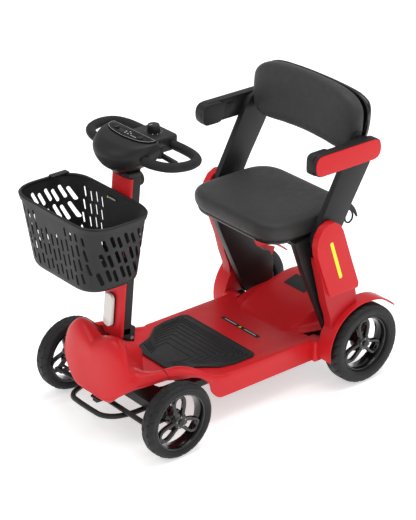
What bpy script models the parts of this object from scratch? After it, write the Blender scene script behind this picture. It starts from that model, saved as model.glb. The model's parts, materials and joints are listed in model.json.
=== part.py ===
"""Compact four-wheel mobility scooter. It stands on Z = 0, its front faces -Y and the rider's left is +X."""

import math

import bmesh
import bpy
from mathutils import Matrix, Vector

for old in list(bpy.data.objects):
    bpy.data.objects.remove(old, do_unlink=True)

# ---------------------------------------------------------------- driving dimensions, in metres
GAP = 0.0005
BOX_CENTRE_Y = 0.001  # moves the finished model so that its box is centred on the origin

WHEELBASE = 0.620
FRONT_AXLE_Y = -0.260
REAR_AXLE_Y = FRONT_AXLE_Y + WHEELBASE
FRONT_RADIUS, FRONT_WIDTH, FRONT_TRACK = 0.100, 0.044, 0.440
REAR_RADIUS, REAR_WIDTH, REAR_TRACK = 0.110, 0.058, 0.446
RIM_RADIUS = 0.0765
RIM_WIDTH = 0.036
AXLE_RADIUS = 0.0075
RUNNING = 0.00025  # radial play of a turning fit, over facets as well

DECK_Z = 0.135
DECK_HALF = 0.171
SKIRT_Z = 0.073
SKIN = 0.004
NOSE_SPLIT_Y = -0.232
DECK_END_Y = 0.2395

RAKE = math.radians(4.9)
HEAD_Y, HEAD_Z = -0.2795, 0.250  # the stem's axis crosses this point
HINGE_Y, HINGE_Z = -0.2545, 0.2500
COLUMN_HALF = 0.037
COLUMN_FOOT, COLUMN_TOP = 0.258, 0.680
FRONT_FACE_Y = -0.298  # of the column at its foot

KINGPIN_X = 0.178
PITMAN = 0.045  # from the stem's axis to the tie rod, and from each kingpin to it

LEG_IN, LEG_OUT = 0.156, 0.176
POST_IN, POST_OUT = 0.190, 0.2065
TOWER_IN, TOWER_OUT = 0.208, 0.228
ARM_IN, ARM_OUT = 0.2085, 0.2345
RECLINE_Y, RECLINE_Z = 0.232, 0.4385
ARM_PIVOT_Y, ARM_PIVOT_Z = 0.325, 0.660

UP = Vector((0.0, math.sin(RAKE), math.cos(RAKE)))  # along the tiller
AHEAD = Vector((0.0, -math.cos(RAKE), math.sin(RAKE)))  # square to the tiller, to its front

# ---------------------------------------------------------------- collections and materials
parts = bpy.data.collections.new("mobility_scooter")
tools = bpy.data.collections.new("cutters")
for collection in (parts, tools):
    bpy.context.scene.collection.children.link(collection)


def finish(name, colour, roughness, metallic=0.0):
    made = bpy.data.materials.new(name)
    made.use_nodes = True
    shader = made.node_tree.nodes["Principled BSDF"]
    shader.inputs["Base Color"].default_value = (*colour, 1.0)
    shader.inputs["Roughness"].default_value = roughness
    shader.inputs["Metallic"].default_value = metallic
    made.diffuse_color = (*colour, 1.0)
    return made


RED = finish("red_plastic", (0.62, 0.045, 0.05), 0.30)
BLACK = finish("black_plastic", (0.022, 0.022, 0.023), 0.42)
GLOSS = finish("gloss_black", (0.008, 0.008, 0.009), 0.08)
RUBBER = finish("tyre_rubber", (0.028, 0.028, 0.028), 0.80)
MAT = finish("mat_rubber", (0.045, 0.047, 0.048), 0.70)
RIM = finish("rim_black", (0.02, 0.02, 0.021), 0.25)
VINYL = finish("seat_vinyl", (0.045, 0.043, 0.043), 0.55)
STEEL = finish("zinc_steel", (0.45, 0.45, 0.46), 0.35, 0.9)
PAINTED = finish("painted_steel", (0.025, 0.025, 0.026), 0.38, 0.3)
LENS = finish("lamp_lens", (0.80, 0.79, 0.76), 0.18)
REFLECTOR = finish("tail_reflector", (0.45, 0.01, 0.012), 0.15)
FOAM = finish("grip_foam", (0.03, 0.03, 0.03), 0.85)


# ---------------------------------------------------------------- modelling helpers
def place(name, mesh, material, smooth=30.0):
    obj = bpy.data.objects.new(name, mesh)
    mesh.materials.clear()
    mesh.materials.append(material)
    if smooth:
        mesh.shade_smooth()
        mesh.set_sharp_from_angle(angle=math.radians(smooth))
    parts.objects.link(obj)
    return obj


def from_bmesh(name, bm, material, smooth=30.0):
    mesh = bpy.data.meshes.new(name)
    bm.to_mesh(mesh)
    bm.free()
    return place(name, mesh, material, smooth)


def as_tool(obj):
    for holder in list(obj.users_collection):
        holder.objects.unlink(obj)
    tools.objects.link(obj)
    obj.hide_render = True
    obj.display_type = "WIRE"
    return obj


def combine(target, operation, *others):
    """Joins others to target, or cuts them from it, or keeps what is common; each becomes a hidden helper."""
    for other in others:
        step = target.modifiers.new(operation.lower(), "BOOLEAN")
        step.operation = operation
        step.object = as_tool(other)
    return target


def join(target, *others):
    return combine(target, "UNION", *others)


def cut(target, *others):
    return combine(target, "DIFFERENCE", *others)


def bevelled(obj, width, segments=2):
    if width:
        edge = obj.modifiers.new("bevel", "BEVEL")
        edge.width = width
        edge.segments = segments
        edge.limit_method = "ANGLE"
        edge.angle_limit = math.radians(35)
    return obj


def box(name, low, high, material, bevel=0.0, segments=2):
    bm = bmesh.new()
    bmesh.ops.create_cube(bm, size=1.0)
    low, high = Vector(low), Vector(high)
    bmesh.ops.scale(bm, vec=high - low, verts=bm.verts)
    bmesh.ops.translate(bm, vec=(low + high) / 2, verts=bm.verts)
    return bevelled(from_bmesh(name, bm, material), bevel, segments)


def rod(name, start, end, radius, material, sides=20, end_radius=None, bevel=0.0):
    start, end = Vector(start), Vector(end)
    along = end - start
    bm = bmesh.new()
    bmesh.ops.create_cone(
        bm,
        cap_ends=True,
        segments=sides,
        radius1=radius,
        radius2=radius if end_radius is None else end_radius,
        depth=along.length,
    )
    turn = Vector((0, 0, 1)).rotation_difference(along.normalized()).to_matrix().to_4x4()
    bmesh.ops.transform(bm, matrix=Matrix.Translation((start + end) / 2) @ turn, verts=bm.verts)
    return bevelled(from_bmesh(name, bm, material), bevel)


def turned(name, profile, centre, axis, material, steps=28, closed=False):
    """A profile of (radius, distance along axis) pairs, turned once about the axis through centre."""
    area = sum(a[0] * b[1] - b[0] * a[1] for a, b in zip(profile, profile[1:] + profile[:1]))
    points = list(reversed(profile)) if area > 0 else list(profile)
    count = len(points)
    edges = [(i, (i + 1) % count) for i in range(count if closed else count - 1)]
    mesh = bpy.data.meshes.new(name)
    mesh.from_pydata([(r, 0.0, a) for r, a in points], edges, [])
    obj = place(name, mesh, material, 0)
    turn = Vector((0, 0, 1)).rotation_difference(Vector(axis).normalized())
    obj.matrix_world = Matrix.Translation(centre) @ turn.to_matrix().to_4x4()
    screw = obj.modifiers.new("turn", "SCREW")
    screw.steps = screw.render_steps = steps
    screw.use_merge_vertices = True
    screw.merge_threshold = 0.00001
    screw.use_smooth_shade = True
    return obj


def spline_points(points, per_span=5, cyclic=False):
    """Points of a Catmull-Rom curve through the given ones."""
    points = [Vector(p) for p in points]
    count = len(points)
    spans = count if cyclic else count - 1
    found = []
    for i in range(spans):
        if cyclic:
            a, b, c, d = (points[(i + k) % count] for k in (-1, 0, 1, 2))
        else:
            a, b, c, d = (points[min(max(i + k, 0), count - 1)] for k in (-1, 0, 1, 2))
        for step in range(per_span):
            t = step / per_span
            found.append(
                0.5 * (2 * b + (c - a) * t + (2 * a - 5 * b + 4 * c - d) * t**2 + (3 * b - a - 3 * c + d) * t**3)
            )
    return found if cyclic else found + [points[-1]]


def pipe(name, points, radius, material, per_span=5, cyclic=False, resolution=2):
    """A round tube through the points, as a mesh."""
    curve = bpy.data.curves.new(name, "CURVE")
    curve.dimensions = "3D"
    curve.bevel_depth = radius
    curve.bevel_resolution = resolution
    curve.use_fill_caps = True
    path = spline_points(points, per_span, cyclic)
    spline = curve.splines.new("POLY")
    spline.points.add(len(path) - 1)
    for point, position in zip(spline.points, path):
        point.co = (*position, 1.0)
    spline.use_cyclic_u = cyclic
    return meshed(name, curve, Matrix.Identity(4), material)


def meshed(name, curve, matrix, material):
    guide = bpy.data.objects.new(name + "_curve", curve)
    tools.objects.link(guide)
    bpy.context.view_layer.update()
    mesh = bpy.data.meshes.new_from_object(guide.evaluated_get(bpy.context.evaluated_depsgraph_get()))
    bpy.data.objects.remove(guide)
    bm = bmesh.new()
    bm.from_mesh(mesh)
    bmesh.ops.remove_doubles(bm, verts=bm.verts, dist=0.00001)
    bmesh.ops.transform(bm, matrix=matrix, verts=bm.verts)
    bmesh.ops.recalc_face_normals(bm, faces=bm.faces)
    bm.to_mesh(mesh)
    bm.free()
    return place(name, mesh, material)


def rounded(corners, radius, steps=3):
    """The closed outline with each corner turned into an arc."""
    points = [Vector(c) for c in corners]
    found = []
    for i, corner in enumerate(points):
        before, after = points[i - 1] - corner, points[(i + 1) % len(points)] - corner
        half = before.angle(after) / 2
        reach = min(radius / math.tan(half), 0.49 * before.length, 0.49 * after.length)
        a, b = corner + before.normalized() * reach, corner + after.normalized() * reach
        for step in range(steps + 1):
            t = step / steps
            found.append((1 - t) ** 2 * a + 2 * t * (1 - t) * corner + t**2 * b)
    return found


def slab(name, outline, low, high, material, plane="YZ", bevel=0.0, holes=()):
    """A flat outline with holes, given in a plane, as thick as from low to high along the third axis."""
    curve = bpy.data.curves.new(name, "CURVE")
    curve.dimensions = "2D"
    curve.fill_mode = "BOTH"
    curve.extrude = (high - low) / 2
    for loop in (outline, *holes):
        spline = curve.splines.new("POLY")
        spline.points.add(len(loop) - 1)
        for point, position in zip(spline.points, loop):
            point.co = (position[0], position[1], 0.0, 1.0)
        spline.use_cyclic_u = True
    if plane == "YZ":
        basis = Matrix(((0, 0, 1, 0), (1, 0, 0, 0), (0, 1, 0, 0), (0, 0, 0, 1)))
        middle = Matrix.Translation(((low + high) / 2, 0, 0))
    else:
        basis = Matrix.Identity(4)
        middle = Matrix.Translation((0, 0, (low + high) / 2))
    return bevelled(meshed(name, curve, middle @ basis, material), bevel)


def circle(centre, radius, sides=16):
    return [
        (centre[0] + radius * math.cos(2 * math.pi * k / sides), centre[1] + radius * math.sin(2 * math.pi * k / sides))
        for k in range(sides)
    ]


def loft(name, rings, material, levels=1, caps=True):
    """A skin through rings of equally many points, closed at both ends."""
    bm = bmesh.new()
    rows = [[bm.verts.new(p) for p in ring] for ring in rings]
    count = len(rows[0])
    for low, high in zip(rows, rows[1:]):
        for k in range(count):
            n = (k + 1) % count
            bm.faces.new((low[k], low[n], high[n], high[k]))
    if caps:
        bm.faces.new(reversed(rows[0]))
        bm.faces.new(rows[-1])
    bmesh.ops.recalc_face_normals(bm, faces=bm.faces)
    obj = from_bmesh(name, bm, material, 50.0)
    if levels:
        smooth = obj.modifiers.new("smooth", "SUBSURF")
        smooth.levels = smooth.render_levels = levels
    return obj


def mirrored(name, source):
    """The same piece on the other side, from the evaluated shape of the first."""
    bpy.context.view_layer.update()
    graph = bpy.context.evaluated_depsgraph_get()
    mesh = bpy.data.meshes.new_from_object(source.evaluated_get(graph))
    mesh.transform(Matrix.Diagonal((-1, 1, 1, 1)) @ source.matrix_world)
    mesh.flip_normals()
    return place(name, mesh, source.data.materials[0])


def along_tiller(height, ahead=0.0, x=0.0):
    """A point at a height above the stem's reference point, measured along the raked tiller."""
    return Vector((x, HEAD_Y, HEAD_Z)) + UP * height + AHEAD * ahead


def tiller_box(name, x, ahead, heights, material, bevel=0.0):
    """A box square to the raked tiller: x, ahead and heights are (low, high) pairs."""
    obj = box(name, (x[0], -ahead[1], heights[0]), (x[1], -ahead[0], heights[1]), material, bevel)
    obj.matrix_world = Matrix.Translation((0, HEAD_Y, HEAD_Z)) @ Matrix.Rotation(-RAKE, 4, "X")
    return obj


def in_tiller(obj):
    """Turns a piece made with x, y = -ahead and z = height into the raked tiller's frame."""
    obj.matrix_world = Matrix.Translation((0, HEAD_Y, HEAD_Z)) @ Matrix.Rotation(-RAKE, 4, "X")
    return obj


def both_sides(points):
    """Points of the left half, from the left end to the middle, continued to the right end."""
    return list(points) + [(-x, y, z) for x, y, z in reversed(points[:-1])]


def shell(name, lines, thickness, material, levels=1, rim=1.0):
    """A thin skin whose lines run from the left lower edge to the middle, mirrored and thickened inwards."""
    bm = bmesh.new()
    rows = [[bm.verts.new(p) for p in both_sides(line)] for line in lines]
    for low, high in zip(rows, rows[1:]):
        for k in range(len(low) - 1):
            bm.faces.new((low[k], low[k + 1], high[k + 1], high[k]))
    bmesh.ops.recalc_face_normals(bm, faces=bm.faces)
    if sum(face.normal.z * face.calc_area() for face in bm.faces) < 0:
        bmesh.ops.reverse_faces(bm, faces=bm.faces)
    obj = from_bmesh(name, bm, material, 50.0)
    if levels:
        smooth = obj.modifiers.new("smooth", "SUBSURF")
        smooth.levels = smooth.render_levels = levels
    thick = obj.modifiers.new("thickness", "SOLIDIFY")
    thick.thickness = thickness
    thick.offset = -1.0
    thick.use_even_offset = True
    return obj


def boxes(name, items, material):
    """One mesh of separate boxes, each given as (centre, size, rotation matrix)."""
    bm = bmesh.new()
    for centre, size, turn in items:
        made = bmesh.ops.create_cube(bm, size=1.0)["verts"]
        bmesh.ops.scale(bm, vec=Vector(size), verts=made)
        bmesh.ops.transform(bm, matrix=Matrix.Translation(centre) @ turn.to_4x4(), verts=made)
    return from_bmesh(name, bm, material, 0)


# ================================================================ wheels
def tyre(name, centre, radius, width):
    half = width / 2
    inner = RIM_RADIUS + 0.0003
    profile = [
        (inner, -RIM_WIDTH / 2),
        (inner + 0.004, -half + 0.001),
        (radius - 0.010, -half),
        (radius - 0.0035, -half + 0.004),
        (radius, -half + 0.013),
        (radius, half - 0.013),
        (radius - 0.0035, half - 0.004),
        (radius - 0.010, half),
        (inner + 0.004, half - 0.001),
        (inner, RIM_WIDTH / 2),
    ]
    return turned(name, profile, centre, (1, 0, 0), RUBBER, 24, closed=True)


def rim_mesh():
    """A barrel, a hub and three double-bar spokes, about the X axis."""
    barrel_profile = [
        (RIM_RADIUS, -RIM_WIDTH / 2),
        (RIM_RADIUS, RIM_WIDTH / 2),
        (RIM_RADIUS - 0.0045, RIM_WIDTH / 2),
        (RIM_RADIUS - 0.0065, 0.012),
        (RIM_RADIUS - 0.0065, -RIM_WIDTH / 2),
    ]
    barrel = turned("rim_source", barrel_profile, (0, 0, 0), (1, 0, 0), RIM, 24, closed=True)
    hub_profile = [(0.0085, -0.016), (0.0085, 0.017), (0.0165, 0.017), (0.0190, 0.009), (0.0190, -0.016)]
    hub = turned("rim_hub", hub_profile, (0, 0, 0), (1, 0, 0), RIM, 14, closed=True)
    bars = []
    for k in range(3):
        turn = Matrix.Rotation(math.radians(90 + 120 * k), 3, "X")
        for side in (-1, 1):
            bars.append((turn @ Vector((0.007, 0.0105 * side, 0.0435)), (0.011, 0.0065, 0.060), turn))
    spokes = boxes("rim_spokes", bars, RIM)
    join(barrel, hub, spokes)
    bpy.context.view_layer.update()
    graph = bpy.context.evaluated_depsgraph_get()
    mesh = bpy.data.meshes.new_from_object(barrel.evaluated_get(graph))
    mesh.transform(barrel.matrix_world)
    as_tool(barrel)
    return mesh


shared_rim = rim_mesh()
WHEELS = {
    "front_left": (FRONT_TRACK / 2, FRONT_AXLE_Y, FRONT_RADIUS, FRONT_WIDTH),
    "front_right": (-FRONT_TRACK / 2, FRONT_AXLE_Y, FRONT_RADIUS, FRONT_WIDTH),
    "rear_left": (REAR_TRACK / 2, REAR_AXLE_Y, REAR_RADIUS, REAR_WIDTH),
    "rear_right": (-REAR_TRACK / 2, REAR_AXLE_Y, REAR_RADIUS, REAR_WIDTH),
}
for place_name, (x, y, radius, width) in WHEELS.items():
    tyre("tyre_" + place_name, (x, y, radius), radius, width)
    rim = place("rim_" + place_name, shared_rim.copy(), RIM)
    face_out = Matrix.Identity(4) if x > 0 else Matrix.Rotation(math.pi, 4, "Z")
    rim.matrix_world = Matrix.Translation((x, y, radius)) @ face_out

# ================================================================ underframe
windows = [
    rounded([(-0.080, a), (0.080, a), (0.080, b), (-0.080, b)], 0.015, 2)
    for a, b in ((-0.205, -0.130), (-0.105, -0.030), (-0.005, 0.045), (0.155, 0.235))
]
ladder = rounded([(-0.115, -0.240), (0.115, -0.240), (0.115, 0.335), (-0.115, 0.335)], 0.020, 2)
chassis = slab("chassis_frame", ladder, 0.088, 0.108, PAINTED, "XY", holes=windows)
rear_bars = [
    ((0, 0.2760, 0.1155), (2 * LEG_OUT, 0.026, 0.024), Matrix.Identity(3)),
    ((0, 0.4150, 0.1100), (2 * LEG_OUT, 0.036, 0.035), Matrix.Identity(3)),
]
straps = [((s * 0.100, 0.3650, 0.0860), (0.014, 0.120, 0.016), Matrix.Identity(3)) for s in (1, -1)]
join(chassis, boxes("rear_bars", rear_bars, PAINTED), boxes("rear_straps", straps, PAINTED))

beam = box("front_axle", (-0.170, -0.274, 0.088), (0.170, -0.2405, 0.112), PAINTED)
neck = box("axle_neck", (-0.016, -0.292, 0.0905), (0.016, -0.262, 0.1095), PAINTED)
head_tube = rod("head_tube", along_tiller(-0.1620), along_tiller(-0.1080), 0.0200, PAINTED, 20)
bosses = [rod(f"boss{s}", (s * KINGPIN_X, -0.26, 0.0865), (s * KINGPIN_X, -0.26, 0.1135), 0.0125, PAINTED, 16) for s in (1, -1)]
join(beam, neck, head_tube, *bosses)
pin_holes = [rod(f"pin_hole{s}", (s * KINGPIN_X, -0.26, 0.07), (s * KINGPIN_X, -0.26, 0.13), 0.0065, PAINTED, 16) for s in (1, -1)]
cut(beam, rod("head_bore", along_tiller(-0.19), along_tiller(-0.08), 0.0125, PAINTED, 20), *pin_holes)

bumper_half = [
    (0.100, -0.235, 0.0800),
    (0.096, -0.300, 0.0780),
    (0.083, -0.345, 0.0780),
    (0.060, -0.370, 0.0800),
    (0.030, -0.3755, 0.0815),
    (0.000, -0.3760, 0.0815),
]
pipe("front_bumper", both_sides(bumper_half), 0.0070, PAINTED, 3, resolution=1)

box("controller_box", (-0.055, 0.052, 0.1085), (0.055, 0.150, 0.1290), BLACK, 0.003, 1)

shaft = rod("transaxle", (-0.2440, REAR_AXLE_Y, REAR_RADIUS), (0.2440, REAR_AXLE_Y, REAR_RADIUS), AXLE_RADIUS, STEEL, 16)
sleeve = rod("axle_sleeve", (-0.1925, REAR_AXLE_Y, REAR_RADIUS), (0.1925, REAR_AXLE_Y, REAR_RADIUS), 0.0130, PAINTED, 16)
gearbox = box("gearbox", (0.118, 0.3280, 0.0780), (0.152, 0.3930, 0.1280), PAINTED, 0.006, 1)
motor = rod("motor", (0.155, 0.3350, 0.1000), (0.1195, 0.3350, 0.1000), 0.0190, PAINTED, 16)
join(shaft, sleeve, gearbox, motor)

# ================================================================ steering under the nose
stem = rod("steering_stem", along_tiller(-0.1715), along_tiller(-0.010), 0.0120, STEEL, 20)
pitman = in_tiller(box("pitman", (-0.0085, -0.0535, -0.1715), (0.0085, 0.0, -0.1665), STEEL))
pitman_pin = rod("pitman_pin", along_tiller(-0.1690, PITMAN), along_tiller(-0.1500, PITMAN), 0.0040, STEEL, 10)
block = box("hinge_block", (-0.018, -0.2915, 0.2320), (0.018, -0.2465, 0.2575), STEEL)
join(stem, pitman, pitman_pin, block)
cut(stem, rod("pin_bore", (-0.05, HINGE_Y, HINGE_Z), (0.05, HINGE_Y, HINGE_Z), 0.0055, STEEL, 12))
rod("hinge_pin", (-0.0355, HINGE_Y, HINGE_Z), (0.0355, HINGE_Y, HINGE_Z), 0.0050, STEEL, 12)

ARM = 0.062  # a knuckle's steering arm


def knuckle(name, s):
    pin = rod(name, (s * KINGPIN_X, -0.26, 0.0800), (s * KINGPIN_X, -0.26, 0.1200), 0.0060, PAINTED, 16)
    items = [
        ((s * 0.1805, -0.26, 0.0832), (0.027, 0.020, 0.0055), Matrix.Identity(3)),
        ((s * 0.1805, -0.26, 0.1170), (0.027, 0.020, 0.0055), Matrix.Identity(3)),
        ((s * 0.1930, -0.26, 0.1000), (0.0045, 0.019, 0.0380), Matrix.Identity(3)),
        ((s * KINGPIN_X, -0.26 - ARM / 2, 0.0831), (0.013, ARM + 0.010, 0.0050), Matrix.Identity(3)),
    ]
    frame = boxes(name + "_frame", items[:1] + items[1:2], PAINTED)
    web = boxes(name + "_web", items[2:3], PAINTED)
    arm = boxes(name + "_arm", items[3:], PAINTED)
    peg = rod(name + "_peg", (s * KINGPIN_X, -0.26 - ARM, 0.0840), (s * KINGPIN_X, -0.26 - ARM, 0.0990), 0.0040, PAINTED, 10)
    axle = rod(name + "_axle", (s * 0.1935, -0.26, FRONT_RADIUS), (s * 0.2400, -0.26, FRONT_RADIUS), AXLE_RADIUS, PAINTED, 16)
    return join(pin, frame, web, arm, peg, axle)


knuckle("knuckle_left", 1)
knuckle("knuckle_right", -1)

rod_half = [(0.190, -0.333), (0.190, -0.305), (0.166, -0.305), (0.160, -0.318), (0.020, -0.318), (0.016, -0.318)]
back_edge = rod_half + [(-x, y) for x, y in reversed(rod_half)]
front_edge = [(-0.190, -0.333), (-0.022, -0.333), (-0.016, -0.3480), (0.016, -0.3480), (0.022, -0.333)]
bar_outline = [Vector(p) for p in back_edge[:-1] + front_edge]


def slot(x, low, high, half):
    return rounded([(x - half, low), (x + half, low), (x + half, high), (x - half, high)], 0.003, 2)


tie_slots = [slot(s * KINGPIN_X, -0.3280, -0.3110, 0.0065) for s in (1, -1)] + [slot(0, -0.3435, -0.3235, 0.0065)]
slab("tie_rod", bar_outline, 0.0905, 0.0950, PAINTED, "XY", holes=tie_slots)

# ================================================================ nose, deck and mat
NOSE_LINES = [
    [(0, -0.352, 0.108), (0, -0.363, 0.118), (0, -0.362, 0.140), (0, -0.360, 0.190), (0, -0.358, 0.238), (0, -0.345, 0.256), (0, -0.322, 0.264)],
    [(0.060, -0.350, 0.108), (0.062, -0.361, 0.120), (0.068, -0.361, 0.145), (0.076, -0.358, 0.200), (0.073, -0.352, 0.254), (0.058, -0.338, 0.283), (0.034, -0.319, 0.278)],
    [(0.100, -0.345, 0.140), (0.107, -0.352, 0.150), (0.116, -0.352, 0.175), (0.121, -0.345, 0.216), (0.112, -0.337, 0.252), (0.086, -0.322, 0.279), (0.052, -0.308, 0.275)],
    [(0.135, -0.330, 0.168), (0.143, -0.333, 0.180), (0.143, -0.328, 0.200), (0.131, -0.320, 0.214), (0.109, -0.314, 0.225), (0.084, -0.304, 0.246), (0.055, -0.288, 0.260)],
    [(0.158, -0.295, 0.180), (0.163, -0.293, 0.192), (0.152, -0.290, 0.208), (0.130, -0.286, 0.206), (0.100, -0.280, 0.196), (0.070, -0.270, 0.208), (0.057, -0.262, 0.248)],
]
FRONT_DECK = [
    [(0.169, -0.250, 0.184), (0.170, -0.250, 0.196), (0.152, -0.250, 0.206), (0.129, -0.248, 0.190), (0.104, -0.246, 0.164), (0.066, -0.240, 0.156), (0.052, -0.236, 0.214)],
]
DECK_LINES = [
    [(0.171, -0.200, 0.173), (0.171, -0.200, 0.187), (0.152, -0.200, 0.200), (0.132, -0.200, 0.180), (0.115, -0.200, 0.148), (0.070, -0.200, 0.135), (0, -0.200, 0.135)],
    [(0.171, -0.150, 0.157), (0.171, -0.150, 0.167), (0.155, -0.150, 0.178), (0.138, -0.150, 0.158), (0.120, -0.150, 0.137), (0.070, -0.150, 0.135), (0, -0.150, 0.135)],
    [(0.171, -0.116, 0.128), (0.171, -0.116, 0.142), (0.160, -0.115, 0.153), (0.143, -0.115, 0.143), (0.120, -0.115, 0.135), (0.070, -0.115, 0.135), (0, -0.115, 0.135)],
    [(0.171, -0.105, 0.098), (0.171, -0.100, 0.125), (0.163, -0.095, 0.143), (0.143, -0.095, 0.1365), (0.120, -0.095, 0.135), (0.070, -0.095, 0.135), (0, -0.095, 0.135)],
    [(0.171, -0.082, 0.076), (0.171, -0.075, 0.110), (0.168, -0.070, 0.134), (0.143, -0.070, 0.135), (0.120, -0.070, 0.135), (0.070, -0.070, 0.135), (0, -0.070, 0.135)],
]
DECK_REAR = [
    [(0.171, y, 0.073), (0.171, y, 0.098), (0.171, y, 0.127), (0.163, y, 0.135), (0.120, y, 0.135), (0.070, y, 0.135), (0, y, 0.135)]
    for y in (-0.050, DECK_END_Y)
]


def woven(lines, along=2, across=2):
    """The lines, with more of them and more points on each, on smooth curves through the given points."""
    finer = [spline_points(line, across) for line in lines]
    columns = [spline_points(column, along) for column in zip(*finer)]
    return [list(row) for row in zip(*columns)]


def open_shell(name, lines, thickness, material):
    """Like shell, but a line may stop short of the middle, which leaves the column's opening free."""
    bm = bmesh.new()
    for side in (1, -1):
        rows = [[bm.verts.new((side * x, y, z)) for x, y, z in line] for line in lines]
        for low, high in zip(rows, rows[1:]):
            for k in range(len(low) - 1):
                corners = (low[k], low[k + 1], high[k + 1], high[k])
                bm.faces.new(corners if side > 0 else tuple(reversed(corners)))
    bmesh.ops.remove_doubles(bm, verts=bm.verts, dist=0.00005)
    bmesh.ops.recalc_face_normals(bm, faces=bm.faces)
    if sum(face.normal.z * face.calc_area() for face in bm.faces) < 0:
        bmesh.ops.reverse_faces(bm, faces=bm.faces)
    obj = from_bmesh(name, bm, material, 50.0)
    thick = obj.modifiers.new("thickness", "SOLIDIFY")
    thick.thickness = thickness
    thick.offset = -1.0
    return obj


open_shell("nose_cowl", woven(NOSE_LINES + FRONT_DECK), 0.0035, RED)
deck_front = [[(x, y + 0.0040, z) for x, y, z in FRONT_DECK[0][:-1]] + [(0.0, -0.222, 0.146)]]
open_shell("deck_cover", woven(deck_front + DECK_LINES + DECK_REAR[:1]) + [spline_points(DECK_REAR[1], 2)], SKIN, RED)

mat_outline = [(0.056, -0.162), (0.084, -0.140), (0.100, -0.095), (0.136, -0.050), (0.146, -0.010), (0.146, 0.052), (0.136, 0.066)]
mat_outline = [Vector(p) for p in mat_outline] + [Vector((-x, y)) for x, y in reversed(mat_outline)]
slab("foot_mat", mat_outline, DECK_Z + 0.0016, DECK_Z + 0.0046, MAT, "XY")

# ================================================================ rear cover, battery and drive
HUMP = (
    (0.2050, 0.098, 0.1430),
    (0.2395, 0.100, 0.1545),
    (0.2440, 0.155, 0.1565),
    (0.2960, 0.155, 0.1750),
    (0.3390, 0.155, 0.1900),
    (0.3850, 0.155, 0.2000),
    (0.4250, 0.153, 0.1980),
    (0.4460, 0.148, 0.1860),
)
hump_lines = [
    [(flange, y, 0.1400), (flange - 0.003 if flange < 0.12 else 0.104, y, 0.1402), (0.092, y, 0.1402 + 0.55 * (top - 0.1402)), (0.078, y, top - 0.0015), (0.0, y, top)]
    for y, flange, top in HUMP
]
shell("rear_cover", hump_lines, 0.0030, RED, 0)

battery = box("battery_pack", (-0.066, 0.3100, 0.1282), (0.066, 0.4380, 0.1680), BLACK, 0.004, 1)
grip = pipe("battery_grip", [(-0.030, 0.434, 0.150), (-0.028, 0.452, 0.150), (0.028, 0.452, 0.150), (0.030, 0.434, 0.150)], 0.0040, BLACK, 2, resolution=1)
join(battery, grip)

box("tail_light", (-0.060, 0.4335, 0.0960), (0.060, 0.4400, 0.1180), REFLECTOR, 0.002, 1)
rod("charge_socket", (-0.090, 0.4335, 0.1100), (-0.090, 0.4420, 0.1100), 0.0110, BLACK, 16)
lever_rod = rod("freewheel_lever", (0.134, 0.4420, 0.1050), (0.134, 0.4660, 0.1110), 0.0035, RED, 10)
lever_boss = rod("freewheel_boss", (0.126, 0.4410, 0.1050), (0.142, 0.4410, 0.1050), 0.0060, RED, 12)
join(lever_rod, lever_boss)

# ================================================================ fenders, legs and tower covers
def arc(centre_y, centre_z, radius, start, end, count):
    found = []
    for k in range(count):
        a = math.radians(start + (end - start) * k / (count - 1))
        found.append(Vector((centre_y + radius * math.cos(a), centre_z + radius * math.sin(a))))
    return found


def fender(name, s):
    """A roof close over the tyre, whose rear end lifts into a lip, and a thin inner wall."""
    sweep = [190 - 10 * k for k in range(16)] + [36]
    reach = [0.1218 + max(0.0, 84 - a) * 0.00027 for a in sweep]
    def at_radius(inset):
        return [
            Vector((REAR_AXLE_Y + (r - inset) * math.cos(math.radians(a)), REAR_RADIUS + (r - inset) * math.sin(math.radians(a))))
            for a, r in zip(sweep, reach)
        ]
    low, high = sorted((s * 0.1880, s * 0.2360))
    roof = slab(name, at_radius(0.0) + list(reversed(at_radius(0.0036))), low, high, RED)
    wall_outline = arc(REAR_AXLE_Y, REAR_RADIUS, 0.1200, 186, 60, 14) + [Vector((0.400, 0.170)), Vector((0.262, 0.100))]
    low, high = sorted((s * 0.1876, s * 0.1906))
    return join(roof, slab(name + "_wall", wall_outline, low, high, RED))


LEG = [
    (0.288, 0.1290), (0.270, 0.170), (0.192, 0.345), (0.157, 0.4380), (0.262, 0.4380), (0.266, 0.392), (0.288, 0.332),
    (0.306, 0.292), (0.324, 0.258), (0.346, 0.240), (0.374, 0.227), (0.387, 0.199), (0.385, 0.1290),
]
TOWER = [
    (0.239, 0.280), (0.211, 0.352), (0.190, 0.410), (0.1865, 0.436), (0.192, 0.461), (0.206, 0.481), (0.228, 0.4915),
    (0.247, 0.490), (0.265, 0.478), (0.277, 0.458), (0.306, 0.378), (0.3385, 0.292), (0.337, 0.279),
]
POST = [
    (0.198, 0.4500), (0.211, 0.479), (0.262, 0.575), (0.308, 0.662), (0.322, 0.682), (0.345, 0.689), (0.372, 0.684),
    (0.386, 0.668), (0.388, 0.640), (0.378, 0.610), (0.322, 0.516), (0.294, 0.463), (0.272, 0.436), (0.262, 0.418),
    (0.246, 0.405), (0.226, 0.403), (0.207, 0.412), (0.197, 0.430),
]
BASE_TOP = [(0.3420, 0.249), (0.334, 0.285), (0.322, 0.312), (0.262, 0.390), (0.203, 0.390), (0.204, 0.376), (0.238, 0.251), (0.253, 0.210)]


def side_plate(name, outline, low_x, high_x, s, material, radius=0.008, bevel=0.0, holes=()):
    low, high = sorted((s * low_x, s * high_x))
    return slab(name, rounded(outline, radius, 2) if radius else outline, low, high, material, bevel=bevel, holes=holes)


TOWER_BASE = arc(REAR_AXLE_Y, REAR_RADIUS, 0.1224, 146, 98, 8) + [Vector(p) for p in BASE_TOP]

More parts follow.
